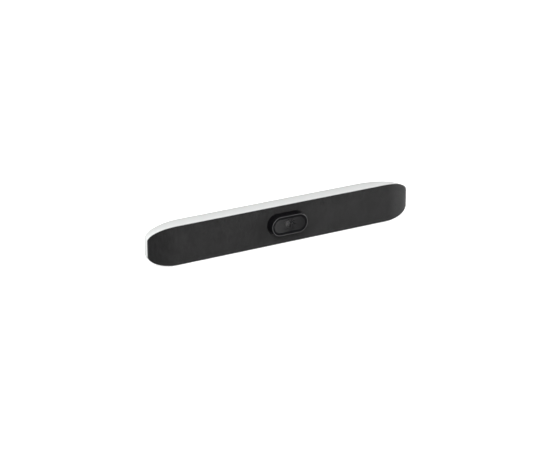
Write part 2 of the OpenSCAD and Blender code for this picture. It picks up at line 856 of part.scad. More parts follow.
module lens_holder() color("#26282b") difference() {
    union() {
        rod(0, pod_z, camera_board_y - holder_l, barrel_r + running + holder_wall,
            holder_l - holder_base_t / 2);
        translate([0, 0, pod_z])
            slab(camera_board_y - holder_base_t, holder_base_t) square(holder_base, true);
    }
    rod(0, pod_z, camera_board_y - holder_l - overrun, barrel_r + running,
        holder_l + overrun - filter_room - filter_t);
    rod(0, pod_z, camera_board_y - holder_l, barrel_r - 2 * lens_rim, holder_l - filter_room);
    translate([0, 0, pod_z])
        slab(camera_board_y - filter_room, filter_room + overrun)
            square(filter_w + 2 * slip, true);
}

module ir_filter() color("#5fb0a0", 0.6)
    translate([0, 0, pod_z])
        slab(camera_board_y - filter_room, filter_t) square(filter_w, true);

module image_sensor() color("#2b3a55")
    translate([0, 0, pod_z])
        slab(camera_board_y - sensor_t, sensor_t) square([sensor_w, sensor_h], true);

module camera_board() color("darkgreen") difference() {
    translate([0, 0, pod_z])
        slab(camera_board_y, camera_board_t)
            panel(camera_board_w, camera_board_h, board_corner_r);
    for (p = camera_screw_places())
        rod(p[0], p[1], camera_board_y - overrun, small_screw_r + running,
            camera_board_t + 2 * overrun);
}

module camera_bracket() color("lightslategray") difference() {
    union() {
        translate([0, 0, pod_z])
            slab(bracket_y, bracket_t) pill(pod_w + 2 * flange_w, pod_h + 2 * flange_w);
        for (x = [-1, 1])
            rod(x * clamp_x, pod_z, guide_back_y, clamp_r, bracket_y - guide_back_y
                + bracket_t / 2);
        for (p = camera_screw_places())
            rod(p[0], p[1], bracket_y + bracket_t / 2, standoff_r,
                standoff_l + bracket_t / 2);
    }
    rod(0, pod_z, bracket_y - overrun, barrel_r + running + holder_wall + slip,
        bracket_t + 2 * overrun);
    for (p = camera_screw_places())
        rod(p[0], p[1], camera_board_y - small_bite, small_screw_r + running,
            small_bite + overrun);
    for (p = bezel_screw_places())
        rod(p[0], p[1], bracket_y - overrun, small_screw_r + running,
            bracket_t + 2 * overrun);
}

module bezel_screws() color("silver")
    for (p = bezel_screw_places())
        small_screw(p[0], p[1], bracket_y + bracket_t,
                    bracket_t + flange_t + carrier_t * drive_depth_share / 2, -1);

module camera_flex() color("orange") {
    y0 = camera_board_y + camera_board_t;
    z0 = pod_z - flex_drop;
    run = board_y - y0 - 2 * flex_plug_t;
    ends = [[z0, y0], [z0, board_y - flex_plug_t]];
    for (p = ends) translate([-flex_w / 2, p[1], p[0] - flex_plug_h / 2])
        cube([flex_w, flex_plug_t, flex_plug_h]);
    wave = [for (i = [0 : flex_steps])
        [y0 + flex_plug_t + run * i / flex_steps,
         z0 - flex_slack * sin(2 * right_angle * i / flex_steps)]];
    translate([-flex_w / 2, 0, 0]) rotate([right_angle, 0, right_angle])
        linear_extrude(flex_w) polygon(concat(
            [for (p = wave) [p[0], p[1] + flex_t / 2]],
            [for (i = [flex_steps : -1 : 0]) [wave[i][0], wave[i][1] - flex_t / 2]]));
}

module speaker_box(side) color("#3c3e42") {
    x = side * speaker_x;
    difference() {
        translate([x, 0, mid_z])
            slab(baffle_y, box_d) panel(speaker_box_w, speaker_box_h, box_corner_r);
        translate([x, 0, mid_z])
            slab(baffle_y + baffle_t, box_d)
                panel(speaker_box_w - 2 * box_wall, speaker_box_h - 2 * box_wall,
                      box_corner_r - box_wall / 2);
        rod(x, mid_z, baffle_y - overrun, frame_in_r + basket_wall + slip,
            baffle_t + 2 * overrun);
        for (p = box_screw_places())
            rod(p[0], p[1], baffle_y - overrun, small_screw_r + running,
                baffle_t + 2 * overrun);
    }
}

module speaker_lid(side) color("#34363a")
    translate([side * speaker_x, 0, mid_z])
        slab(box_back_y, box_lid_t) panel(speaker_box_w, speaker_box_h, box_corner_r);

module driver_frame(side) color("#50545a") {
    x = side * speaker_x;
    outer = frame_in_r + basket_wall;
    difference() {
        turned(x, mid_z, driver_y) polygon([
            [frame_in_r, 0], [driver_r, 0], [driver_r, driver_flange_t],
            [outer, driver_flange_t], [outer, magnet_h0],
            [coil_r + coil_t + 2 * coil_gap, magnet_h0],
            [coil_r + coil_t + 2 * coil_gap, basket_l], [frame_in_r, basket_l]]);
        for (turn = [0 : 3]) translate([x, driver_y + baffle_t + driver_flange_t, mid_z])
            rotate([0, turn * right_angle + right_angle / 2, 0])
                translate([0, 0, -driver_r / 4])
                    cube([driver_r, basket_l - baffle_t - 2 * driver_flange_t,
                          driver_r / 2]);
    }
}

module driver_magnet(side) color("#8a8d92")
    turned(side * speaker_x, mid_z, driver_y) polygon([
        [0, magnet_h0], [coil_r - coil_gap, magnet_h0],
        [coil_r - coil_gap, magnet_h0 + magnet_l - magnet_base_t],
        [coil_r + coil_t + coil_gap, magnet_h0 + magnet_l - magnet_base_t],
        [coil_r + coil_t + coil_gap, magnet_h0], [magnet_r, magnet_h0],
        [magnet_r, magnet_h0 + magnet_l], [0, magnet_h0 + magnet_l]]);

module speaker_cone(side) color("#24262a") {
    neck_r = coil_r + coil_t;
    turned(side * speaker_x, mid_z, driver_y) polygon([
        [cone_r, cone_set], [cone_r, cone_set + cone_t],
        [neck_r + coil_gap, neck_set + cone_t], [neck_r, neck_set + cone_t],
        [neck_r, neck_set], [0, dome_set + cone_t], [0, dome_set],
        [neck_r, neck_set - cone_t]]);
}

module voice_coil(side) color("#b5763a")
    turned(side * speaker_x, mid_z, driver_y)
        translate([coil_r, neck_set]) square([coil_t, coil_l]);

module surround(side) color("#18191b") {
    mid_r = frame_in_r - surround_w / 2;
    roll = surround_w / 2;
    turned(side * speaker_x, mid_z, driver_y + cone_set + cone_t) difference() {
        translate([mid_r, 0]) intersection() {
            circle(r = roll);
            translate([-roll, -roll]) square([2 * roll, roll]);
        }
        translate([mid_r, 0]) circle(r = roll - surround_t);
    }
}

module speaker_gaskets() color("#1e1f21")
    for (side = [-1, 1]) translate([side * speaker_x, 0, mid_z])
        slab(seat_y, speaker_gasket_t) difference() {
            circle(r = driver_r);
            circle(r = frame_in_r);
        }

module speaker_screws() color("silver")
    for (p = box_screw_places())
        small_screw(p[0], p[1], baffle_y + baffle_t, baffle_t + small_bite - slip, -1);

module speaker_leads() color("firebrick") for (side = [-1, 1]) {
    reach = box_x0 - lead_x;
    translate([side * (lead_x + reach / 2), lead_y, back_mid_z])
        rotate([0, right_angle, 0]) cylinder(r = lead_r, h = reach, center = true);
    translate([side * lead_x, lead_y, back_mid_z]) sphere(r = lead_r);
    rod(side * lead_x, back_mid_z, lead_y, lead_r, board_y - lead_plug_t - lead_y);
    translate([side * lead_x - lead_plug_w / 2, board_y - lead_plug_t,
               back_mid_z - lead_plug_h / 2])
        cube([lead_plug_w, lead_plug_t, lead_plug_h]);
}

module mic_board(side) color("darkgreen") {
    x = side * mic_x;
    y = seat_y + mic_gasket_t;
    difference() {
        translate([x, 0, mid_z])
            slab(y, mic_board_t) panel(mic_board_w, mic_board_h, mic_gasket_corner);
        for (s = [-1, 1])
            rod(x + s * mic_spread / 2, mid_z, y - overrun, mic_hole_r,
                mic_board_t + 2 * overrun);
    }
    for (s = [-1, 1]) translate([x + s * mic_spread / 2, 0, mid_z])
        slab(y + mic_board_t, mic_can_t) square([mic_can_w, mic_can_h], true);
}

module mic_gaskets() color("#2c2d30")
    for (side = [-1, 1]) translate([side * mic_x, 0, mid_z])
        slab(seat_y, mic_gasket_t) difference() {
            panel(mic_board_w, mic_board_h, mic_gasket_corner);
            for (s = [-1, 1]) translate([s * mic_spread / 2, 0]) circle(r = mic_seal_r);
        }

module main_board() color("#1f5a3a") difference() {
    translate([0, 0, back_mid_z])
        slab(board_y, board_t) panel(board_w, board_h, board_corner_r);
    for (p = concat(board_screw_places(), sink_leg_places()))
        rod(p[0], p[1], board_y - overrun, small_screw_r + running, board_t + 2 * overrun);
}

// A chip on the front of the main board
module chip(x, z, w, h, t)
    translate([x, 0, back_mid_z + z]) slab(board_y - t, t) square([w, h], true);

module board_chips() color("#222326") {
    chip(sink_x, 0, chip_w, chip_w, chip_t);
    for (s = [-1, 1])
        chip(sink_x + s * (chip_w / 2 + memory_gap + memory_w / 2), 0, memory_w,
             memory_h, memory_t);
    chip(codec_x, 0, codec_w, codec_w, memory_t);
    chip(power_x, power_rise, codec_w, codec_w / 2, memory_t);
    chip(can_x, 0, radio_w, radio_w, memory_t);
}

module shield_can() color("lightgray") translate([can_x, 0, back_mid_z]) difference() {
    slab(board_y - can_t, can_t) square([can_w, can_h], true);
    slab(board_y - can_t + can_wall, can_t)
        square([can_w - 2 * can_wall, can_h - 2 * can_wall], true);
}

module thermal_pad() color("#7fb4d6")
    chip_at_sink(board_y - chip_t - pad_t, pad_t, chip_w, chip_w);

// A block over the processor
module chip_at_sink(y, t, w, h)
    translate([sink_x, 0, back_mid_z]) slab(y, t) square([w, h], true);

module heat_sink() color("silver") {
    base_y = board_y - chip_t - pad_t - sink_base_t;
    difference() {
        union() {
            chip_at_sink(base_y, sink_base_t, sink_w, sink_h);
            for (i = [0 : fins - 1])
                translate([sink_x - sink_w / 2 + i * (sink_w - fin_t) / (fins - 1),
                           base_y - fin_l, back_mid_z - sink_h / 2])
                    cube([fin_t, fin_l + sink_base_t / 2, sink_h]);
            for (p = sink_leg_places())
                rod(p[0], p[1], base_y + sink_base_t / 2, sink_leg_r,
                    board_y - base_y - sink_base_t / 2);
        }
        for (p = sink_leg_places())
            rod(p[0], p[1], board_y - chip_t - pad_t, small_screw_r + running,
                chip_t + pad_t + overrun);
    }
}

module board_screws() color("silver") {
    for (p = board_screw_places())
        small_screw(p[0], p[1], board_y, board_t + small_bite, 1);
    for (p = camera_screw_places())
        small_screw(p[0], p[1], camera_board_y + camera_board_t,
                    camera_board_t + small_bite - slip, -1);
    for (p = sink_leg_places())
        small_screw(p[0], p[1], board_back_y, board_t + chip_t, -1);
}

// Outline of the HDMI-style socket, chamfered at its lower corners
module trapezoid(w, h, c)
    polygon([[-w / 2, h / 2], [w / 2, h / 2], [w / 2, c - h / 2], [w / 2 - c, -h / 2],
             [c - w / 2, -h / 2], [-w / 2, c - h / 2]]);

module port_panel() color("#1d1e20") {
    difference() {
        translate([0, 0, back_mid_z]) {
            slab(floor_in_y, back_y - panel_set - floor_in_y)
                panel(panel_w, panel_h, panel_corner_r);
            slab(inner_back_y - panel_lip_t, panel_lip_t)
                panel(panel_w + 2 * panel_lip_w, panel_h + 2 * panel_lip_w, panel_corner_r);
        }
        translate([0, 0, back_mid_z]) {
            slab(floor_y, pocket_d + overrun)
                panel(panel_w - 2 * panel_wall, panel_h - 2 * panel_wall,
                      panel_corner_r - panel_wall);
            slab(floor_in_y - overrun, floor_t + 2 * overrun) {
                translate([dc_x, 0]) square(dc_w + 2 * slip, true);
                translate([usb_c_x, 0]) pill(usb_c_w + 2 * slip, usb_c_h + 2 * slip);
                translate([hdmi_x, 0])
                    trapezoid(hdmi_w + 2 * slip, hdmi_h + 2 * slip, hdmi_chamfer);
                translate([usb_a_x, 0]) square([usb_a_w + 2 * slip, usb_a_h + 2 * slip], true);
                translate([reset_x, 0]) circle(r = button_r + slip);
            }
        }
    }
}

// A socket body on the main board, hollow from its mouth
module socket(x, depth) {
    translate([x, 0, back_mid_z]) difference() {
        slab(board_back_y, socket_l) children(0);
        slab(board_back_y + socket_l - depth, depth + overrun) children(1);
    }
    translate([x, 0, back_mid_z])
        slab(board_back_y + socket_l - depth - shell_t, depth + shell_t - tongue_set)
            children(2);
}

module dc_jack() color("#202022") socket(dc_x, dc_depth) {
    square(dc_w, true);
    circle(r = dc_bore_r);
    circle(r = dc_pin_r);
}

module usb_c_port() color("silver") socket(usb_c_x, usb_c_depth) {
    pill(usb_c_w, usb_c_h);
    pill(usb_c_w - 2 * shell_t, usb_c_h - 2 * shell_t);
    square([usb_c_tongue_w, usb_c_tongue_h], true);
}

module hdmi_port() color("silver") socket(hdmi_x, hdmi_depth) {
    trapezoid(hdmi_w, hdmi_h, hdmi_chamfer);
    trapezoid(hdmi_w - 2 * shell_t, hdmi_h - 2 * shell_t, hdmi_chamfer);
    square([hdmi_tongue_w, hdmi_tongue_h], true);
}

module usb_a_port() color("silver") socket(usb_a_x, usb_a_depth) {
    square([usb_a_w, usb_a_h], true);
    square([usb_a_w - 2 * shell_t, usb_a_h - 2 * shell_t], true);
    translate([0, usb_a_tongue_rise]) square([usb_a_tongue_w, usb_a_tongue_h], true);
}

module reset_button() color("#c8c8ca") {
    collar_y = floor_in_y - button_gap - button_collar_t;
    stem_y = board_back_y + switch_l - stem_in;
    rod(reset_x, back_mid_z, stem_y, stem_r, collar_y - stem_y);
    rod(reset_x, back_mid_z, collar_y, button_collar_r, button_collar_t);
    rod(reset_x, back_mid_z, collar_y + button_collar_t, button_r,
        floor_y + button_proud - collar_y - button_collar_t);
}

module reset_switch() color("#303034") difference() {
    translate([reset_x, 0, back_mid_z]) slab(board_back_y, switch_l) square(switch_w, true);
    rod(reset_x, back_mid_z, board_back_y + switch_l - switch_bore_l, stem_r + running,
        switch_bore_l + overrun);
}

module wall_inserts() color("goldenrod") for (x = [-1, 1]) difference() {
    rod(x * wall_mount_pitch / 2, back_mid_z, back_y - insert_l,
        wall_thread_r + insert_wall, insert_l);
    rod(x * wall_mount_pitch / 2, back_mid_z, back_y - insert_l - overrun, wall_thread_r,
        insert_l + 2 * overrun);
}

module tripod_insert() color("goldenrod") translate([0, front_y + tripod_in, plinth_z])
    difference() {
        cylinder(r = tripod_thread_r + tripod_wall, h = tripod_l);
        translate([0, 0, -overrun]) cylinder(r = tripod_thread_r, h = tripod_l + 2 * overrun);
    }

module foot_pads() color("#2b2b2d")
    for (x = [-1, 1], y = [0, 1]) foot_block(x, y, foot_recess, 0, foot_t);

module housing_screws() color("#44464a")
    for (p = housing_screw_places())
        screw(p[0], p[1], boss_y + boss_floor_t, boss_floor_t + screw_bite, -1, screw_r,
              screw_head_r, screw_head_t);

module label_plate() color("gainsboro")
    translate([label_x, 0, back_mid_z])
        slab(back_y - label_recess, label_t) panel(label_w, label_h, label_corner_r);

module wifi_antennas() color("#c9a227") for (side = [-1, 1])
    translate([side * box_x1 - (side < 0 ? antenna_t : 0), lead_y - antenna_w / 2,
               mid_z - antenna_h / 2])
        cube([antenna_t, antenna_w, antenna_h]);

rear_housing();
front_carrier();
grille_cloth();
camera_bezel();
camera_window();
window_gasket();
lens_hood();
shutter_blade();
shutter_guide();
drive_pinion();
motor_shaft();
shutter_motor();
lens_barrel();
front_lens();
lens_holder();
ir_filter();
image_sensor();
camera_board();
camera_bracket();
bezel_screws();
camera_flex();
speaker_box(-1);  // speaker_box_left
speaker_box(1);  // speaker_box_right
speaker_lid(-1);  // speaker_lid_left
speaker_lid(1);  // speaker_lid_right
driver_frame(-1);  // driver_frame_left
driver_frame(1);  // driver_frame_right
driver_magnet(-1);  // driver_magnet_left
driver_magnet(1);  // driver_magnet_right
speaker_cone(-1);  // cone_left
speaker_cone(1);  // cone_right
voice_coil(-1);  // voice_coil_left
voice_coil(1);  // voice_coil_right
surround(-1);  // surround_left
surround(1);  // surround_right
speaker_gaskets();
speaker_screws();
speaker_leads();
mic_board(-1);  // mic_board_left
mic_board(1);  // mic_board_right
mic_gaskets();
main_board();
board_chips();
shield_can();
thermal_pad();
heat_sink();
board_screws();
port_panel();
dc_jack();
usb_c_port();
hdmi_port();
usb_a_port();
reset_button();
reset_switch();
wall_inserts();
tripod_insert();
foot_pads();
housing_screws();
label_plate();
wifi_antennas();
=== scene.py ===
"""Conference camera bar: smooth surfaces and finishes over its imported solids.

Metres throughout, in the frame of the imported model: X runs along the bar, the fabric
front faces -Y, Z is up, and the origin lies under the middle of the bar at table height.
"""

from __future__ import annotations

import logging
import math
from dataclasses import dataclass, field
from enum import Enum
from typing import Any, Callable, Iterable, Sequence

import bpy
import numpy as np
from bpy.types import ID, Material, Node, NodeSocket, NodeTree, Object
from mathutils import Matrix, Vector


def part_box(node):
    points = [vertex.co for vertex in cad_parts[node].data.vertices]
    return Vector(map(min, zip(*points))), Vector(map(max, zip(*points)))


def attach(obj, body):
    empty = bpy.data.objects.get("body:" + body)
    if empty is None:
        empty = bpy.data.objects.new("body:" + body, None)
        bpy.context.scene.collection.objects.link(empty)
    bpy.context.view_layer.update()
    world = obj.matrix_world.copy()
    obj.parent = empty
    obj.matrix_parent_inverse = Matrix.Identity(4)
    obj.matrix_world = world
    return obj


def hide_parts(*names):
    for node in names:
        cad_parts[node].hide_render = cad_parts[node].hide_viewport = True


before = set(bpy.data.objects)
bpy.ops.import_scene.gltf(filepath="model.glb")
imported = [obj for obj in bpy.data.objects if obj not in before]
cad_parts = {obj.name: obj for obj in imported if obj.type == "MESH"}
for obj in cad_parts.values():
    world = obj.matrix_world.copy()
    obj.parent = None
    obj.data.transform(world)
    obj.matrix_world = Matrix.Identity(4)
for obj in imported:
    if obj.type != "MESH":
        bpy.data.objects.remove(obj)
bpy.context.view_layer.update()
LOG = logging.getLogger("bar")

MM = 0.001
BODY = "bar"
Pair = tuple[float, float]
Triple = tuple[float, float, float]
Colour = Triple
Station = tuple[float, float, float, float, float]


# Solids


class Axis(Enum):
    """Direction along which flat outlines are stacked."""

    ALONG_Y = "y"
    ALONG_Z = "z"


@dataclass
class Solid:
    """Closed shells as arrays: points, four-sided faces, and flat caps of many sides."""

    points: np.ndarray
    quads: np.ndarray
    caps: list[np.ndarray] = field(default_factory=list)

    def volume(self) -> float:
        """Sum of the signed tetrahedra between the origin and each triangle."""
        fans = [np.column_stack((np.full(len(c) - 2, c[0]), c[1:-1], c[2:])) for c in self.caps]
        tris = np.vstack([self.quads[:, [0, 1, 2]], self.quads[:, [0, 2, 3]], *fans])
        a, b, c = (self.points[tris[:, k]] for k in range(3))
        return float(np.einsum("ij,ij->", a, np.cross(b, c)) / 6)

    def oriented(self) -> Solid:
        """The same solid with its faces pointing outwards."""
        if self.volume() >= 0:
            return self
        return Solid(self.points, self.quads[:, ::-1], [c[::-1] for c in self.caps])

    def __add__(self, other: Solid) -> Solid:
        """Both solids' shells side by side, as one mesh."""
        n = len(self.points)
        return Solid(
            np.vstack((self.points, other.points)),
            np.vstack((self.quads, other.quads + n)),
            self.caps + [c + n for c in other.caps],
        )

    def piece(self, name: str, sharp: float = 32.0, uv: np.ndarray | None = None) -> Object:
        """Puts the arrays into a mesh object.

        Args:
            name: Name of the piece.
            sharp: Angle in degrees past which an edge is drawn hard.
            uv: One pair of surface coordinates a point, in metres.

        Returns:
            The new object, at the origin.
        """
        mesh = bpy.data.meshes.new(name)
        faces = self.quads.tolist() + [c.tolist() for c in self.caps]
        mesh.from_pydata(self.points.tolist(), [], faces)
        if uv is not None:
            corner = np.empty(len(mesh.loops), np.int32)
            mesh.loops.foreach_get("vertex_index", corner)
            layer = mesh.uv_layers.new(name="surface")
            layer.data.foreach_set("uv", uv[corner].astype(np.float32).ravel())
        obj = placed(name, mesh)
        shade(obj, sharp)
        return obj


def placed(name: str, data: ID) -> Object:
    """Puts a mesh, lamp or camera into the scene as an object."""
    obj = bpy.data.objects.new(name, data)
    bpy.context.scene.collection.objects.link(obj)
    return obj


def shade(obj: Object, sharp: float) -> None:
    """Smooths an object's faces, with hard edges past an angle in degrees."""
    mesh = obj.data
    mesh.polygons.foreach_set("use_smooth", np.ones(len(mesh.polygons), bool))
    mesh.set_sharp_from_angle(angle=math.radians(sharp))
    mesh.update()


def between(a: np.ndarray, b: np.ndarray) -> np.ndarray:
    """Quads between two closed rows of point numbers."""
    return np.stack((a, np.roll(a, -1), np.roll(b, -1), b), axis=-1)


def loft(rings: np.ndarray, closed: bool = False) -> Solid:
    """Skins a row of rings.

    Args:
        rings: Array of m rings of n points.
        closed: Whether the last ring joins the first, as round a hole.

    Returns:
        The solid, capped at its ends unless it is closed.
    """
    m, n = rings.shape[:2]
    index = np.arange(m * n).reshape(m, n)
    rows = m if closed else m - 1
    quads = np.vstack([between(index[i], index[(i + 1) % m]) for i in range(rows)])
    caps = [] if closed else [index[0][::-1], index[-1]]
    return Solid(rings.reshape(-1, 3), quads, caps).oriented()


def rounded(w: float, h: float, r: float, steps: int = 10) -> np.ndarray:
    """Outline of a rectangle with round corners; four quarter arcs in turn."""
    r = min(r, 0.4995 * w, 0.4995 * h)
    turn = np.linspace(0, math.pi / 2, steps + 1)[None] + math.pi / 2 * np.arange(4)[:, None]
    centre = np.array([(1, 1), (-1, 1), (-1, -1), (1, -1)]) * (w / 2 - r, h / 2 - r)
    return (centre[:, None] + r * np.stack((np.cos(turn), np.sin(turn)), -1)).reshape(-1, 2)


def circle(r: float, n: int = 48) -> np.ndarray:
    """Outline of a circle: r times the cosine and sine of equal steps."""
    turn = np.linspace(0, 2 * math.pi, n, endpoint=False)
    return r * np.stack((np.cos(turn), np.sin(turn)), -1)


def stacked(outlines: Sequence[np.ndarray], levels: Sequence[float], centre: Pair,
            axis: Axis = Axis.ALONG_Y, closed: bool = False) -> Solid:
    """Lofts flat outlines at levels along an axis.

    Args:
        outlines: Flat outlines with the same number of points.
        levels: Level of each outline along the axis.
        centre: Place of the outlines' origin in their plane.
        axis: Direction of the levels.
        closed: Whether the last outline joins the first.

    Returns:
        The solid.
    """
    flat = np.stack(outlines) + np.asarray(centre)
    level = np.broadcast_to(np.asarray(levels, float)[:, None], flat.shape[:2])
    order = (flat[..., 0], level, flat[..., 1])
    if axis is Axis.ALONG_Z:
        order = (flat[..., 0], flat[..., 1], level)
    return loft(np.stack(order, -1), closed)


def bevelled(w: float, h: float, r: float, ends: Pair, centre: Pair, edge: float = 0.3 * MM,
             axis: Axis = Axis.ALONG_Y, steps: int = 8) -> Solid:
    """A slab with round corners whose two rims are quarter rounds of radius edge."""
    turn = np.linspace(0, math.pi / 2, 4)
    inset = edge * (1 - np.sin(turn))
    rise = edge * (1 - np.cos(turn))
    insets = np.concatenate((inset, inset[::-1]))
    levels = np.concatenate((ends[0] + rise, ends[1] - rise[::-1]))
    outlines = [rounded(w - 2 * i, h - 2 * i, max(r - i, 0.02 * MM), steps) for i in insets]
    return stacked(outlines, levels, centre, axis)


def turned(profile: Sequence[Pair], centre: Pair, closed: bool = False, n: int = 64) -> Solid:
    """A part turned about an axis along Y: a circle of each radius at each depth.

    Args:
        profile: Pairs of radius and place along Y.
        centre: Place of the axis, in X and Z.
        closed: Whether the profile is a loop round a hole.
        n: Points round the part.

    Returns:
        The solid.
    """
    radii, levels = zip(*profile)
    return stacked([circle(r, n) for r in radii], levels, centre, closed=closed)


def slab(w: float, h: float, r: float, ends: Pair, centre: Pair, axis: Axis = Axis.ALONG_Y,
         steps: int = 10) -> Solid:
    """A plain slab with round corners, to cut or to add."""
    return stacked([rounded(w, h, r, steps)] * 2, ends, centre, axis)


def drill(centre: Pair, r: float, ends: Pair, axis: Axis = Axis.ALONG_Y) -> Solid:
    """A plain round bar, to cut or to add."""
    return stacked([circle(r)] * 2, ends, centre, axis)


def total(solids: Iterable[Solid]) -> Solid:
    """All the solids as one mesh."""
    first, *rest = solids
    for other in rest:
        first = first + other
    return first


def combine(target: Object, tool: Solid, operation: str, sharp: float = 32.0) -> None:
    """Joins a tool to a piece or cuts it out, and keeps the result as its mesh.

    Args:
        target: The piece.
        tool: What is joined or cut.
        operation: UNION or DIFFERENCE.
        sharp: Angle in degrees past which an edge is drawn hard.
    """
    cutter = tool.piece("tool")
    step = target.modifiers.new("combine", "BOOLEAN")
    step.object, step.operation, step.solver = cutter, operation, "EXACT"
    view = bpy.context.evaluated_depsgraph_get()
    mesh = bpy.data.meshes.new_from_object(target.evaluated_get(view))
    target.modifiers.clear()
    old, target.data = target.data, mesh
    mesh.name = target.name
    bpy.data.meshes.remove(old)
    bpy.data.meshes.remove(cutter.data)
    shade(target, sharp)


# Node graphs and the effects that finishes share


class Graph:
    """A node tree with short calls for its nodes and links."""

    def __init__(self, tree: NodeTree) -> None:
        """Keeps the tree."""
        self.tree = tree

    def feed(self, sockets: Any, values: dict[str | int, Any]) -> None:
        """Links each socket to another one, or sets its value."""
        for key, value in values.items():
            if isinstance(value, NodeSocket):
                self.tree.links.new(value, sockets[key])
            else:
                sockets[key].default_value = value

    def node(self, kind: str, inputs: dict[str | int, Any] | None = None, **settings: Any) -> Node:
        """Adds a node.

        Args:
            kind: The node's type, without its ShaderNode prefix.
            inputs: Value or socket for each of its inputs.
            **settings: Properties of the node.

        Returns:
            The new node.
        """
        made = self.tree.nodes.new("ShaderNode" + kind)
        for key, value in settings.items():
            setattr(made, key, value)
        self.feed(made.inputs, inputs or {})
        return made

    def math(self, operation: str, a: Any, b: Any = 0.0, c: Any = 0.0) -> NodeSocket:
        """Result of a Math node."""
        return self.node("Math", {0: a, 1: b, 2: c}, operation=operation).outputs[0]

    def span(self, value: Any, low: Any, high: Any) -> NodeSocket:
        """A value from 0 to 1, moved to lie between low and high."""
        return self.node("MapRange", {"Value": value, "To Min": low, "To Max": high}).outputs[0]

    def noise(self, place: Any, scale: Any, **inputs: float) -> NodeSocket:
        """Value of a noise texture."""
        return self.node("TexNoise", {"Vector": place, "Scale": scale, **inputs}).outputs[0]

    def stretch(self, place: Any, factors: Any) -> NodeSocket:
        """A place times a factor along each axis."""
        return self.node("VectorMath", {0: place, 1: factors}, operation="MULTIPLY").outputs[0]

    def group(self, tree: NodeTree, inputs: dict[str, Any]) -> Any:
        """Outputs of a group that is placed here."""
        return self.node("Group", inputs, node_tree=tree).outputs

    def mix(self, factor: Any, a: Any, b: Any) -> NodeSocket:
        """Mixes two colours."""
        made = self.node("Mix", data_type="RGBA")
        sockets = {s.name: s for s in made.inputs if s.enabled}
        self.feed(sockets, {"Factor": factor, "A": a, "B": b})
        return next(s for s in made.outputs if s.enabled)


def group_tree(name: str, takes: dict[str, float | Triple | None], gives: Sequence[str],
               fill: Callable[[Graph, Any, Any], None]) -> NodeTree:
    """Builds a node group once.

    Args:
        name: Name of the group.
        takes: Default of each input: a number, three for a vector, or None for a place.
        gives: Names of the outputs, which are all numbers.
        fill: Adds the nodes, given the graph, the group's inputs and its output node.

    Returns:
        The group's tree.
    """
    if name in bpy.data.node_groups:
        return bpy.data.node_groups[name]
    tree = bpy.data.node_groups.new(name, "ShaderNodeTree")
    for label, value in takes.items():
        kind = "NodeSocketFloat" if isinstance(value, float) else "NodeSocketVector"
        socket = tree.interface.new_socket(label, in_out="INPUT", socket_type=kind)
        if value is not None:
            socket.default_value = value
    for label in gives:
        tree.interface.new_socket(label, in_out="OUTPUT", socket_type="NodeSocketFloat")
    source, sink = tree.nodes.new("NodeGroupInput"), tree.nodes.new("NodeGroupOutput")
    fill(Graph(tree), source.outputs, sink.inputs)
    return tree


def moulded_grain() -> NodeTree:
    """Group: the spark grain of a mould, and a slow drift of tone over the part."""

    def fill(g: Graph, source: Any, sink: Any) -> None:
        """Noise and the cells of a Voronoi make the grain, and slow noise the drift."""
        fine = g.noise(source["Vector"], source["Grain Scale"], Detail=3.0, Roughness=0.6)
        pits = g.node("TexVoronoi", {"Vector": source["Vector"], "Scale": source["Grain Scale"]})
        height = g.math("ADD", fine, g.math("MULTIPLY", pits.outputs["Distance"], 0.5))
        slow = g.noise(source["Vector"], source["Drift Scale"], Detail=2.0)
        g.feed(sink, {"Height": height, "Drift": g.span(slow, 0.0, 1.0), "Grain": fine})

    return group_tree(
        "moulded_grain", {"Vector": None, "Grain Scale": 2500.0, "Drift Scale": 14.0},
        ("Height", "Drift", "Grain"), fill)


def plain_weave() -> NodeTree:
    """Group: over-and-under threads. Each thread is a rounded ridge, |sin| of its number."""

    def fill(g: Graph, source: Any, sink: Any) -> None:
        """Warp and weft ridges take turns on top, by the parity of their crossing."""
        wobble = g.noise(source["Threads"], 0.35, Detail=2.0)
        shift = g.math("MULTIPLY", g.math("SUBTRACT", wobble, 0.5), source["Wobble"])
        split = g.node("SeparateXYZ", {"Vector": source["Threads"]})
        u, v = (g.math("ADD", split.outputs[k], shift) for k in (0, 1))
        ridge_u = g.math("ABSOLUTE", g.math("SINE", g.math("MULTIPLY", u, math.pi)))
        ridge_v = g.math("ABSOLUTE", g.math("SINE", g.math("MULTIPLY", v, math.pi)))
        crossing = g.math("ADD", g.math("FLOOR", u), g.math("FLOOR", v))
        turn = g.math("PINGPONG", crossing, 1.0)
        over = g.math("ADD", g.math("MULTIPLY", ridge_u, turn),
                      g.math("MULTIPLY", ridge_v, g.math("SUBTRACT", 1.0, turn)))
        fibre = g.noise(source["Threads"], 5.0, Detail=3.0)
        height = g.math("MULTIPLY_ADD", fibre, 0.35, over)
        g.feed(sink, {"Height": height, "Thread": over, "Fibre": fibre})

    return group_tree(
        "plain_weave", {"Threads": None, "Wobble": 0.5}, ("Height", "Thread", "Fibre"), fill)


def drawn_lines() -> NodeTree:
    """Group: fine lines left by rolling or turning metal, with a few worn patches."""

    def fill(g: Graph, source: Any, sink: Any) -> None:
        """Noise squeezed along the lines, and round noise for the worn patches."""
        lines = g.noise(g.stretch(source["Vector"], source["Scale"]), 1.0, Detail=4.0)
        worn = g.noise(source["Vector"], 60.0, Detail=3.0)
        g.feed(sink, {"Lines": lines, "Worn": g.span(worn, 0.0, 1.0)})

    return group_tree(
        "drawn_lines", {"Vector": None, "Scale": (300.0, 300.0, 4000.0)}, ("Lines", "Worn"), fill)


def seen_rays(g: Graph) -> NodeSocket:
    """1 for rays from the camera and those that a gloss or a pane sends on, else 0."""
    path = g.node("LightPath").outputs
    seen = g.math("MAXIMUM", path["Is Camera Ray"], path["Is Glossy Ray"])
    return g.math("MAXIMUM", seen, path["Is Transmission Ray"])


# Finishes


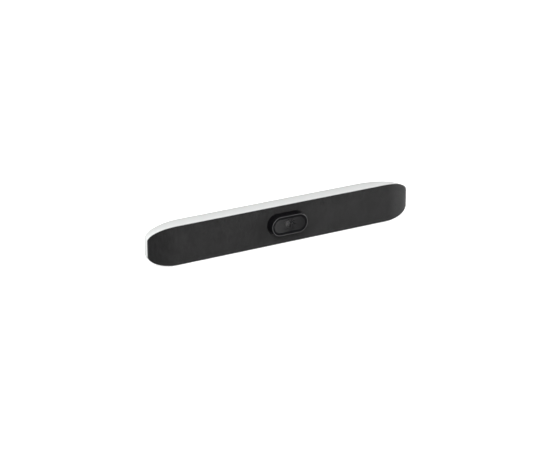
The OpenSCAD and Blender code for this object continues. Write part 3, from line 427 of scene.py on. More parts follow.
def opaque(colour: Colour) -> tuple[float, float, float, float]:
    """A colour with full alpha."""
    return (*colour, 1.0)


def scaled(colour: Colour, factor: float) -> tuple[float, float, float, float]:
    """A colour times a factor, with full alpha."""
    return opaque(tuple(min(1.0, c * factor) for c in colour))


def new_material(name: str) -> tuple[Material, Graph, Node]:
    """Starts a material, and gives its graph and its Principled shader too."""
    made = bpy.data.materials.new(name)
    made.use_nodes = True
    return made, Graph(made.node_tree), made.node_tree.nodes["Principled BSDF"]


@dataclass(frozen=True)
class Finish:
    """What every finish has: a name, a colour and a roughness."""

    name: str
    colour: Colour
    roughness: float = 0.5

    def material(self) -> Material:
        """The finish as a material, built once."""
        name = f"look_{self.name}"
        if name in bpy.data.materials:
            return bpy.data.materials[name]
        made, g, shader = new_material(name)
        made.diffuse_color = opaque(self.colour)
        g.feed(shader.inputs, {"Base Color": opaque(self.colour), "Roughness": self.roughness})
        self.dress(g, shader)
        return made

    def dress(self, g: Graph, shader: Node) -> None:
        """Adds the finish's own nodes."""

    def place(self, g: Graph) -> NodeSocket:
        """Object coordinates, which every plain finish reads."""
        return g.node("TexCoord").outputs["Object"]

    def bump(self, g: Graph, shader: Node, height: Any, depth: float) -> None:
        """Feeds a height to the shader's normal, with its depth in metres."""
        made = g.node("Bump", {"Height": height, "Strength": 1.0, "Distance": depth})
        g.feed(shader.inputs, {"Normal": made.outputs[0]})

    def tone(self, g: Graph, factor: Any, reach: float) -> NodeSocket:
        """The colour, made darker and lighter by up to a share of it."""
        return g.mix(factor, scaled(self.colour, 1 - reach), scaled(self.colour, 1 + reach))

    def rough(self, g: Graph, factor: Any, reach: float) -> NodeSocket:
        """The roughness, moved down and up by up to a reach."""
        return g.span(factor, self.roughness - reach, self.roughness + reach)


@dataclass(frozen=True)
class Moulding(Finish):
    """Moulded plastic, rubber or foam: spark grain and a slow drift of tone."""

    grain: float = 2600.0
    depth: float = 0.006 * MM
    drift: float = 0.05
    drift_scale: float = 14.0
    specular: float = 0.5
    unevenness: float = 0.06

    def dress(self, g: Graph, shader: Node) -> None:
        """Drift moves the colour, and the grain the roughness and the surface."""
        marks = g.group(moulded_grain(), {
            "Vector": self.place(g), "Grain Scale": self.grain, "Drift Scale": self.drift_scale})
        g.feed(shader.inputs, {
            "Base Color": self.tone(g, marks["Drift"], self.drift),
            "Roughness": self.rough(g, marks["Grain"], self.unevenness),
            "Specular IOR Level": self.specular})
        self.bump(g, shader, marks["Height"], self.depth)


@dataclass(frozen=True)
class Cloth(Finish):
    """Acoustic fabric: a fine plain weave of melange yarn, slightly mottled."""

    pitch: float = 0.62 * MM
    depth: float = 0.09 * MM
    mottle: float = 0.45
    # Share of the colour kept in the gaps between threads: painted shade.
    gap_painted_shade: float = 0.62
    specular: float = 0.06
    sheen: float = 0.3
    sheen_roughness: float = 0.45
    yarn_scale: Triple = (260.0, 95.0, 1.0)
    yarn_share: float = 0.6
    cloud_scale: float = 38.0
    contrast: Pair = (0.4, 0.6)
    fibre_roughness: Pair = (0.8, 0.98)

    def dress(self, g: Graph, shader: Node) -> None:
        """Threads follow the surface; the mottling is wider than a thread and upright."""
        surface = g.node("UVMap", uv_map="surface").outputs[0]
        marks = g.group(plain_weave(), {"Threads": g.stretch(surface, (1 / self.pitch,) * 3)})
        yarn = g.noise(g.stretch(surface, self.yarn_scale), 1.0, Detail=3.0, Roughness=0.6)
        cloud = g.noise(surface, self.cloud_scale, Detail=2.0)
        mixed = g.math("ADD", g.math("MULTIPLY", yarn, self.yarn_share),
                       g.math("MULTIPLY", cloud, 1 - self.yarn_share))
        spread = g.node("MapRange", {"Value": mixed, "From Min": self.contrast[0],
                                     "From Max": self.contrast[1]})
        tone = self.tone(g, spread.outputs[0], self.mottle)
        # Where the threads dip, the colour darkens: painted shade between the threads.
        g.feed(shader.inputs, {
            "Base Color": g.mix(marks["Thread"], scaled(self.colour, self.gap_painted_shade), tone),
            "Roughness": g.span(marks["Fibre"], *self.fibre_roughness),
            "Specular IOR Level": self.specular,
            "Sheen Weight": self.sheen, "Sheen Roughness": self.sheen_roughness})
        self.bump(g, shader, marks["Height"], self.depth)


@dataclass(frozen=True)
class Metal(Finish):
    """Metal, bare or plated: drawn lines and worn patches."""

    lines: Triple = (300.0, 300.0, 4000.0)
    depth: float = 0.003 * MM
    worn: float = 0.1
    unevenness: float = 0.1

    def dress(self, g: Graph, shader: Node) -> None:
        """Lines move the roughness and surface, and wear the colour."""
        marks = g.group(drawn_lines(), {"Vector": self.place(g), "Scale": self.lines})
        tone = g.mix(marks["Worn"], scaled(self.colour, 1 - self.worn), opaque(self.colour))
        g.feed(shader.inputs, {"Base Color": tone, "Metallic": 1.0,
                               "Roughness": self.rough(g, marks["Lines"], self.unevenness)})
        self.bump(g, shader, marks["Lines"], self.depth)


@dataclass(frozen=True)
class Pane(Finish):
    """Smoked or coated pane: clear enough to show what is behind it, with a hard gloss.

    A pane with a clear_r has a clearer patch in front of the lens, and its gloss falls from
    specular at -X to specular_right_painted at +X, a painted reflection that is stronger on
    the left.
    """

    alpha: float = 0.8
    haze: float = 0.04
    haze_scale: float = 40.0
    coat: float = 0.0
    specular: float = 0.5
    ior: float = 1.5
    specular_right_painted: float = 0.5
    clear_alpha: float = 0.5
    clear_r: float = 0.0
    # Half the span along X of the painted reflection fade.
    reach: float = 28 * MM

    def patch(self, g: Graph, shader: Node) -> None:
        """Makes the coating thinner near the lens axis, and fades the gloss towards +X: painted
        reflection.
        """
        _, _, (_, lens_z), _ = facing("front_lens")
        flat = g.stretch(self.place(g), (1.0, 0.0, 1.0))
        away = g.node("VectorMath", {0: flat, 1: (0.0, 0.0, lens_z)}, operation="DISTANCE")
        alpha = g.node("MapRange", {
            "Value": away.outputs["Value"], "From Min": self.clear_r / 2, "From Max": self.clear_r,
            "To Min": self.clear_alpha, "To Max": self.alpha}, interpolation_type="SMOOTHSTEP")
        across = g.node("SeparateXYZ", {0: flat}).outputs[0]
        # Painted reflection: the specular level falls from -X to +X, so the pane's left side
        # reflects more.
        gloss = g.node("MapRange", {
            "Value": across, "From Min": -self.reach, "From Max": self.reach,
            "To Min": self.specular, "To Max": self.specular_right_painted})
        g.feed(shader.inputs, {"Alpha": alpha.outputs[0],
                               "Specular IOR Level": gloss.outputs[0]})

    def dress(self, g: Graph, shader: Node) -> None:
        """A faint haze moves the roughness."""
        marks = g.group(moulded_grain(), {"Vector": self.place(g), "Drift Scale": self.haze_scale})
        g.feed(shader.inputs, {
            "Roughness": g.span(marks["Drift"], self.roughness, self.roughness + self.haze),
            "Alpha": self.alpha, "Specular IOR Level": self.specular, "IOR": self.ior,
            "Coat Weight": self.coat, "Coat Roughness": self.haze / 2})
        if self.clear_r:
            self.patch(g, shader)


@dataclass(frozen=True)
class Laminate(Finish):
    """Printed circuit board: solder mask with buried tracks and round vias."""

    track: Colour = (0.1, 0.38, 0.2)
    varnish: float = 0.3
    depth: float = 0.02 * MM
    run_scale: float = 160.0
    runs: float = 18.0
    run_gap: float = 0.72
    via_scale: float = 420.0
    via_r: float = 0.12

    def dress(self, g: Graph, shader: Node) -> None:
        """Stepped noise makes runs of track, and the cells of a second pattern the vias."""
        place = self.place(g)
        cells = g.node("TexVoronoi", {"Vector": place, "Scale": self.via_scale},
                       distance="CHEBYCHEV")
        run = g.math("MULTIPLY", g.noise(place, self.run_scale, Detail=1.0), self.runs)
        track = g.math("GREATER_THAN", g.math("PINGPONG", run, 1.0), self.run_gap)
        via = g.math("LESS_THAN", cells.outputs["Distance"], self.via_r)
        raised = g.math("MAXIMUM", track, via)
        tone = g.mix(raised, opaque(self.colour), opaque(self.track))
        g.feed(shader.inputs, {"Base Color": tone, "Coat Weight": self.varnish})
        self.bump(g, shader, raised, self.depth)


SHELL_WHITE = Moulding("shell_white", (0.64, 0.65, 0.645), 0.7, depth=0.004 * MM, drift=0.012,
                       specular=0.02)
CARRIER_BLACK = Moulding("carrier_black", (0.03, 0.03, 0.032), 0.6)
SATIN_BLACK = Moulding("satin_black", (0.003, 0.003, 0.0035), 0.45, specular=0.03, drift=0.1)
# A paler copy of the bezel's black for its crest: a painted highlight.
CREST_PAINTED_HIGHLIGHT = Moulding("crest_painted_highlight", (0.05, 0.05, 0.051), 0.35, depth=0.001 * MM)
PANEL_BLACK = Moulding("panel_black", (0.025, 0.025, 0.027), 0.5, grain=1800.0, depth=0.012 * MM)
INNER_GREY = Moulding("inner_grey", (0.16, 0.165, 0.175), 0.6)
CHIP_BLACK = Moulding("chip_black", (0.03, 0.03, 0.032), 0.7, grain=4000.0)
BUTTON_GREY = Moulding("button_grey", (0.5, 0.5, 0.51), 0.45)
FOAM_BLACK = Moulding("foam_black", (0.022, 0.022, 0.024), 0.95, grain=900.0, depth=0.12 * MM)
FOOT_RUBBER = Moulding("foot_rubber", (0.035, 0.035, 0.037), 0.85, grain=1400.0, depth=0.03 * MM)
SURROUND_RUBBER = Moulding("surround_rubber", (0.02, 0.02, 0.021), 0.6, depth=0.004 * MM)
CONE_PULP = Moulding("cone_pulp", (0.05, 0.05, 0.053), 0.85, grain=700.0, depth=0.05 * MM,
                     drift=0.15)
PAD_BLUE = Moulding("pad_blue", (0.3, 0.5, 0.62), 0.8, grain=900.0, depth=0.04 * MM)
LEAD_RED = Moulding("lead_red", (0.5, 0.03, 0.025), 0.45)
AMBER_FILM = Moulding("amber_film", (0.55, 0.24, 0.03), 0.3, depth=0.001 * MM, drift=0.08)
GRILLE_CLOTH = Cloth("grille_cloth", (0.0078, 0.0078, 0.008), 0.9)
# The smoked pane's gloss fades towards +X: a painted reflection.
SMOKED_PANE = Pane("smoked_pane", (0.009, 0.009, 0.0095), 0.16, alpha=0.92, specular=0.27,
                   specular_right_painted=0.04, clear_alpha=0.5, clear_r=13 * MM)
# Front lens: its coat and gloss are real, but its pale grey colour is a painted highlight that
# shows as a soft light patch through the window.
LENS_PAINTED_GLINT = Pane("lens_coated", (0.5, 0.49, 0.48), 0.25, alpha=0.95, specular=1.0, coat=1.0,
                   ior=2.0)
FILTER_TEAL = Pane("filter_teal", (0.25, 0.6, 0.52), 0.05, alpha=0.5)
STEEL_PLATED = Metal("steel_plated", (0.62, 0.62, 0.61), 0.32)
STEEL_DARK = Metal("steel_dark", (0.09, 0.09, 0.095), 0.42)
ALUMINIUM = Metal("aluminium", (0.8, 0.8, 0.81), 0.38, lines=(300.0, 3000.0, 300.0))
MAGNET_PLATED = Metal("magnet_plated", (0.4, 0.4, 0.41), 0.4)
BRASS = Metal("brass", (0.78, 0.58, 0.28), 0.3)
GOLD_CONTACT = Metal("gold_contact", (0.9, 0.66, 0.25), 0.22)
COPPER_WIRE = Metal("copper_wire", (0.75, 0.36, 0.2), 0.35, lines=(300.0, 5000.0, 300.0))
FOIL_BLANK = Metal("foil_blank", (0.7, 0.71, 0.72), 0.5, lines=(200.0, 300.0, 5000.0))
BOARD_GREEN = Laminate("board_green", (0.02, 0.13, 0.06), 0.4)


def dress_nodes(finishes: dict[Finish, Sequence[str]]) -> None:
    """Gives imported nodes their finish, in every material slot they have."""
    for finish, names in finishes.items():
        for name in names:
            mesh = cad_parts[name].data
            mesh.materials.clear()
            mesh.materials.append(finish.material())
            LOG.info("%s: packed node in %s", name, finish.name)


def finished(obj: Object, finish: Finish, nodes: Sequence[str] = (),
             body: str = BODY) -> Object:
    """Dresses a new piece and ties it to the frame.

    Args:
        obj: The piece.
        finish: Its finish.
        nodes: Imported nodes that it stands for.
        body: The body that it moves with.

    Returns:
        The piece.
    """
    if not any(obj.data.materials):
        obj.data.materials.clear()
        obj.data.materials.append(finish.material())
    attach(obj, body)
    if nodes:
        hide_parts(*nodes)
    LOG.info("%s: %d faces in %s", obj.name, len(obj.data.polygons), finish.name)
    return obj


# The bar's form, which the cover and the shell share


def facing(node: str) -> tuple[float, float, Pair, Pair]:
    """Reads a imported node's box as it is seen from the front.

    Args:
        node: Name of the node.

    Returns:
        Its width, its height, its middle in X and Z, and its two ends along Y.
    """
    low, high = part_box(node)
    centre = ((low.x + high.x) / 2, (low.z + high.z) / 2)
    return high.x - low.x, high.z - low.z, centre, (low.y, high.y)


@dataclass
class BarForm:
    """Outline of the bar: straight middle, elliptical corners and swept-back ends.

    A ring is one closed outline. Its height falls by an ellipse near each end, and its
    place along Y follows a power curve of the distance from the middle. A taper from 0
    to 1 lowers the top, raises the underside and draws in the ends towards the back.
    """

    half_w: float
    front_y: float
    back_y: float
    z0: float
    z1: float
    corner_w: float = 48.0 * MM
    corner_h: float = 19.5 * MM
    sweep_w: float = 42.5 * MM
    sweep_d: float = 9.8 * MM
    sweep_power: float = 1.55
    top_fall: float = 14.4 * MM
    bottom_rise: float = 5.0 * MM
    end_inset: float = 65.0 * MM
    corner_steps: int = 40
    middle_steps: int = 30
    side_steps: int = 13

    @classmethod
    def from_frame(cls) -> BarForm:
        """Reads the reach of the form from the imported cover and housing."""
        low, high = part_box("grille_cloth")
        return cls(high.x, low.y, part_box("rear_housing")[1].y, low.z, high.z)

    def sweep(self, x: np.ndarray) -> np.ndarray:
        """How far a column sweeps back: depth times 1 - (1 - s^p)^(1/p), s from 0 to 1."""
        share = np.clip((x - self.half_w + self.sweep_w) / self.sweep_w, 0, 1)
        return self.sweep_d * (1 - (1 - share**self.sweep_power) ** (1 / self.sweep_power))

    def ring(self, station: Station) -> np.ndarray:
        """One outline, from its left end over the top, and back along the underside.

        Args:
            station: Inset all round, taper, seat behind the front, the plane that the
                outline moves towards, and the share of that way.

        Returns:
            The outline's points in order.
        """
        inset, taper, seat, y_end, along = station
        span = max(self.corner_w, self.sweep_w) - inset
        from_end = span * (1 - np.sin(np.linspace(0, math.pi / 2, self.corner_steps + 1)))
        w = self.half_w - inset - self.end_inset * taper
        z1 = self.z1 - inset - self.top_fall * taper
        z0 = self.z0 + inset + self.bottom_rise * taper
        rx = self.corner_w - inset
        rz = (self.corner_h - inset) * (z1 - z0) / (self.z1 - self.z0 - 2 * inset)
        near = np.clip(1 - from_end / rx, 0, 1)
        drop = rz * (1 - np.sqrt(1 - near**2))
        middle = np.linspace(-1, 1, self.middle_steps + 2)[1:-1] * (w - span)
        x = np.concatenate((-(w - from_end)[::-1], middle, w - from_end))
        fall = np.concatenate((drop[::-1], np.zeros(len(middle)), drop))
        front = self.front_y + seat + self.sweep(np.abs(x) + self.end_inset * taper)
        y = front * (1 - along) + y_end * along
        top = np.stack((x, y, z1 - fall), -1)
        low = np.stack((x, y, z0 + fall), -1)
        share = np.linspace(0, 1, self.side_steps + 2)[1:-1, None]
        right = top[-1] + (low[-1] - top[-1]) * share
        left = low[0] + (top[0] - low[0]) * share
        return np.vstack((top, right, low[::-1], left))

    def grid(self) -> tuple[np.ndarray, np.ndarray]:
        """Point numbers of a face by row and column, and its rim in a ring's order."""
        cols = 2 * (self.corner_steps + 1) + self.middle_steps
        grid = np.arange((self.side_steps + 2) * cols).reshape(-1, cols)
        rim = np.concatenate((grid[0], grid[1:-1, -1], grid[-1][::-1], grid[1:-1, 0][::-1]))
        return grid, rim

    def face(self, ring: np.ndarray) -> np.ndarray:
        """Points of the face inside a ring: straight columns from top to underside."""
        cols = self.grid()[0].shape[1]
        top = ring[:cols]
        low = ring[cols + self.side_steps : 2 * cols + self.side_steps][::-1]
        share = np.linspace(0, 1, self.side_steps + 2)[:, None, None]
        return (top + (low - top) * share).reshape(-1, 3)

    def bowl(self, stations: Sequence[Station]) -> tuple[Solid, np.ndarray]:
        """A closed solid: a face, a wall through the stations, and a second face.

        Args:
            stations: The outlines in order, from the first face to the second.

        Returns:
            The solid, and surface coordinates for its points: length along the first
            face and height on it, carried on outwards down the wall.
        """
        rings = np.stack([self.ring(s) for s in stations])
        grid, rim = self.grid()
        first, last = self.face(rings[0]), self.face(rings[-1])
        inner = rings[1:-1].reshape(-1, 3)
        n, start = len(first), len(first) + len(inner)
        index = [rim, *np.arange(n, start).reshape(-1, len(rim)), start + rim]
        wall = np.vstack([between(a, b) for a, b in zip(index[:-1], index[1:])])
        face = np.stack((grid[:-1, :-1], grid[1:, :-1], grid[1:, 1:], grid[:-1, 1:]), -1)
        face = face.reshape(-1, 4)
        solid = Solid(np.vstack((first, inner, last)),
                      np.vstack((face, wall, (face + start)[:, ::-1]))).oriented()
        return solid, self.surface(rings, first)

    def surface(self, rings: np.ndarray, first: np.ndarray) -> np.ndarray:
        """Surface coordinates of a bowl's points, in metres.

        Args:
            rings: The outlines of its stations.
            first: The points of its first face.

        Returns:
            A pair of coordinates for each point.
        """
        grid, rim = self.grid()
        rows, cols = grid.shape
        step = np.linalg.norm(np.diff(first[:cols, :2], axis=0), axis=1)
        u = np.concatenate(([0], np.cumsum(step)))
        flat = np.stack((np.tile(u, rows), first[:, 2]), -1)
        edge = flat[rim]
        tangent = np.roll(edge, -1, 0) - np.roll(edge, 1, 0)
        out = np.stack((-tangent[:, 1], tangent[:, 0]), -1)
        out /= np.maximum(np.linalg.norm(out, axis=1, keepdims=True), 1e-9)
        reach = np.cumsum(np.linalg.norm(np.diff(rings, axis=0), axis=2), axis=0)
        wall = [edge + out * reach[i][:, None] for i in range(len(rings) - 2)]
        return np.vstack((flat, *wall, flat))


# Front cover


@dataclass
class FrontCover:
    """Fabric stretched over the moulded carrier, turned round its edge."""

    form: BarForm
    cloth_t: float = 0.8 * MM
    rim_d: float = 2.8 * MM
    edge_r: float = 1.2 * MM
    edge_steps: int = 6
    hole_gap: float = 1.3 * MM
    sharp: float = 50.0

    def stations(self) -> list[Station]:
        """Face, quarter-round edge, turned rim, and the back of the cloth."""
        turn = np.linspace(0, math.pi / 2, self.edge_steps + 1)
        edge = [(self.edge_r * (1 - math.sin(t)), 0.0, self.edge_r * (1 - math.cos(t)), 0.0, 0.0)
                for t in turn]
        back = [(0.0, 0.0, self.rim_d, 0.0, 0.0), (self.cloth_t, 0.0, self.rim_d, 0.0, 0.0),
                (self.cloth_t, 0.0, self.cloth_t, 0.0, 0.0)]
        return edge + back

    def build(self, pod: CameraPod) -> Object:
        """Makes the fabric, with the hole that the pod stands in."""
        solid, surface = self.form.bowl(self.stations())
        cloth = solid.piece("fabric_cover", self.sharp, surface)
        reach, gap = 2.5 * self.cloth_t, 2 * self.hole_gap
        ends = (self.form.front_y - reach, self.form.front_y + reach)
        hole = slab(pod.width + gap, pod.height + gap, pod.height, ends, (0, pod.mid_z),
                    steps=pod.arc_steps)
        combine(cloth, hole, "DIFFERENCE", self.sharp)
        finished(cloth, GRILLE_CLOTH, ["grille_cloth"])
        dress_nodes({SATIN_BLACK: ["front_carrier"]})
        return cloth


# Rear shell


@dataclass
class RearShell:
    """White housing: lofted wall, wells for its screws, vents and plinths."""

    form: BarForm
    wall: float = 2.4 * MM
    seat: float = 3.4 * MM
    lip_r: float = 0.7 * MM
    lip_steps: int = 6
    turn_steps: int = 44
    well_r: float = 2.9 * MM
    head_r: float = 2.7 * MM
    head_h: float = 1.8 * MM
    pilot_r: float = 1.5 * MM
    boss_r: float = 4.6 * MM
    boss_gap: float = 1.4 * MM
    boss_floor: float = 3.0 * MM
    insert_r: float = 3.0 * MM
    insert_wall: float = 2.5 * MM
    insert_floor: float = 2.0 * MM
    insert_depth: float = 8.0 * MM
    tripod_boss_r: float = 7.0 * MM
    vent_w: float = 1.6 * MM
    vent_h: float = 14.0 * MM
    vent_pitch: float = 4.0 * MM
    vent_steps: int = 6
    vents: int = 6
    vent_gap: float = 8.0 * MM
    plinth_d: float = 42.0 * MM
    plinth_in: float = 6.0 * MM
    plinth_w: float = 60.0 * MM
    plinth_r: float = 4.0 * MM
    plinth_root: float = 0.6 * MM
    tripod_plinth_w: float = 40.0 * MM
    mouth_lip: float = 3.0 * MM
    mouth_r: float = 4.2 * MM
    label_r: float = 2.0 * MM
    foot_deep: float = 0.8 * MM
    label_deep: float = 0.5 * MM
    label_edge: float = 0.1 * MM
    fit: float = 0.2 * MM
    over: float = 1.0 * MM
    sharp: float = 28.0

    def stations(self) -> list[Station]:
        """Outside from the back to the lip, round the lip, and inside to the back."""
        turns = np.linspace(math.pi / 2, 0, self.turn_steps)
        back, inner = self.form.back_y, self.form.back_y - self.wall
        start = self.seat + self.lip_r
        outside = [(0.0, 1 - math.cos(t), start, back, math.sin(t)) for t in turns]
        lip = [(self.lip_r * (1 - math.cos(t)), 0.0, start - self.lip_r * math.sin(t), 0.0, 0.0)
               for t in np.linspace(0, math.pi / 2, self.lip_steps)[1:]]
        inside = [(self.wall, 1 - math.cos(t), self.seat, inner, math.sin(t)) for t in turns[::-2]]
        if inside[-1][1] < 1:
            inside.append((self.wall, 1.0, self.seat, inner, 1.0))
        return outside + lip + inside

    def wells(self) -> list[Pair]:
        """Places of the screw wells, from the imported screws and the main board."""
        _, tall, (_, mid), _ = facing("housing_screws")
        end_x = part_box("housing_screws")[1].x - self.head_r
        rise = tall / 2 - self.head_r
        inner_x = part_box("main_board")[1].x + self.boss_gap + self.boss_r
        inner = [(sx * inner_x, mid + sz * rise) for sx in (-1, 1) for sz in (-1, 1)]
        return inner + [(sx * end_x, mid) for sx in (-1, 1)]

    def inserts(self) -> list[Pair]:
        """Places of the threaded inserts for a wall bracket."""
        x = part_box("wall_inserts")[1].x - self.insert_r
        return [(-x, self.wells()[-1][1]), (x, self.wells()[-1][1])]

    def bosses(self) -> Solid:
        """Posts inside the shell: screw wells, threaded inserts and the tripod insert."""
        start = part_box("housing_screws")[1].y - self.head_h - self.boss_floor
        back = self.form.back_y - self.wall / 2
        posts = [drill(place, self.boss_r, (start, back)) for place in self.wells()]
        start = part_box("wall_inserts")[0].y - self.insert_floor
        posts += [drill(place, self.insert_r + self.insert_wall, (start, back))
                  for place in self.inserts()]
        low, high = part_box("tripod_insert")
        posts.append(drill((0, (low.y + high.y) / 2), self.tripod_boss_r,
                           (low.z, high.z + self.insert_r), Axis.ALONG_Z))
        return total(posts)

    def plinths(self) -> Solid:
        """Three low pads under the shell, two for the feet and one for the tripod."""
        ends = (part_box("tripod_insert")[0].z, self.form.z0 + self.wall / 2 + self.plinth_root)
        foot_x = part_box("foot_pads")[1].x - Feet.length / 2
        middle = self.form.front_y + self.plinth_in + self.plinth_d / 2
        return total(
            slab(w, self.plinth_d, self.plinth_r, ends, (x, middle), Axis.ALONG_Z)
            for x, w in ((-foot_x, self.plinth_w), (0.0, self.tripod_plinth_w),
                         (foot_x, self.plinth_w)))

    def openings(self) -> Solid:
        """All that is cut: sockets' window, vents, wells, inserts, label and feet."""
        back, over, gap = self.form.back_y, self.over, 2 * self.fit
        outside = back + over
        through = (back - self.wall - over, outside)
        w, h, (_, mid), _ = facing("port_panel")
        w, h = w - 2 * self.mouth_lip, h - 2 * self.mouth_lip
        cuts = [slab(w + gap, h + gap, self.mouth_r, through, (0, mid))]
        cuts += [slab(self.vent_w, self.vent_h, self.vent_w, through,
                      (s * (w / 2 + self.vent_gap + i * self.vent_pitch), mid),
                      steps=self.vent_steps)
                 for s in (-1, 1) for i in range(self.vents)]
        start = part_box("housing_screws")[1].y - self.head_h
        for r, ends in ((self.well_r, (start, outside)),
                        (self.pilot_r, (start - 2 * self.boss_floor, start))):
            cuts += [drill(place, r, ends) for place in self.wells()]
        cuts += [drill(place, self.insert_r, (back - self.insert_depth, outside))
                 for place in self.inserts()]
        w, h, centre, _ = facing("label_plate")
        cuts.append(slab(w + gap, h + gap, self.label_r + self.fit,
                         (back - self.label_deep, outside), centre))
        low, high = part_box("tripod_insert")
        cuts.append(drill((0, (low.y + high.y) / 2), high.x, (low.z - over, high.z),
                          Axis.ALONG_Z))
        cuts += [slab(w + gap, d + gap, Feet.corner_r + self.fit,
                      (low.z - over, low.z + self.foot_deep), (x, y), Axis.ALONG_Z)
                 for x, y, w, d in Feet().places()]
        return total(cuts)

    def build(self) -> Object:
        """Makes the shell and dresses what is fastened in it."""
        solid, _ = self.form.bowl(self.stations())
        shell = solid.piece("rear_shell", self.sharp)
        for tool, operation in ((self.bosses(), "UNION"), (self.plinths(), "UNION"),
                                (self.openings(), "DIFFERENCE")):
            combine(shell, tool, operation, self.sharp)
        finished(shell, SHELL_WHITE, ["rear_housing"])
        dress_nodes({BRASS: ["wall_inserts", "tripod_insert"], STEEL_DARK: ["housing_screws"]})
        self.label()
        return shell

    def label(self) -> Object:
        """A bare plate of foil in its recess, with soft edges."""
        w, h, centre, ends = facing("label_plate")
        plate = bevelled(w, h, self.label_r, ends, centre, self.label_edge)
        return finished(plate.piece("bare_label"), FOIL_BLANK, ["label_plate"])


@dataclass
class Feet:
    """Four rubber pads with rounded edges and shallow grooves along them."""

    length: float = 44.0 * MM
    depth: float = 9.0 * MM
    corner_r: float = 1.0 * MM
    edge_r: float = 0.35 * MM
    groove_in: float = 2.5 * MM
    groove_pitch: float = 1.5 * MM
    groove_w: float = 0.5 * MM
    groove_deep: float = 0.3 * MM
    groove_steps: int = 4
    grooves: int = 5

    def places(self) -> list[tuple[float, float, float, float]]:
        """Middle and size of each pad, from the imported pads' reach."""
        low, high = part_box("foot_pads")
        x = high.x - self.length / 2
        ys = (low.y + self.depth / 2, high.y - self.depth / 2)
        return [(s * x, y, self.length, self.depth) for s in (-1, 1) for y in ys]

    def build(self) -> Object:
        """Makes the pads and presses the grooves into them."""
        low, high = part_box("foot_pads")
        pads = total(bevelled(w, d, self.corner_r, (low.z, high.z), (x, y), self.edge_r,
                              Axis.ALONG_Z) for x, y, w, d in self.places())
        feet = pads.piece("rubber_feet")
        rows = (np.arange(self.grooves) - (self.grooves - 1) / 2) * self.groove_pitch
        cuts = total(slab(self.length - 2 * self.groove_in, self.groove_w, self.groove_w,
                          (low.z - MM, low.z + self.groove_deep), (x, y + row), Axis.ALONG_Z,
                          self.groove_steps)
                     for x, y, _, _ in self.places() for row in rows)
        combine(feet, cuts, "DIFFERENCE")
        return finished(feet, FOOT_RUBBER, ["foot_pads"])


# Camera pod


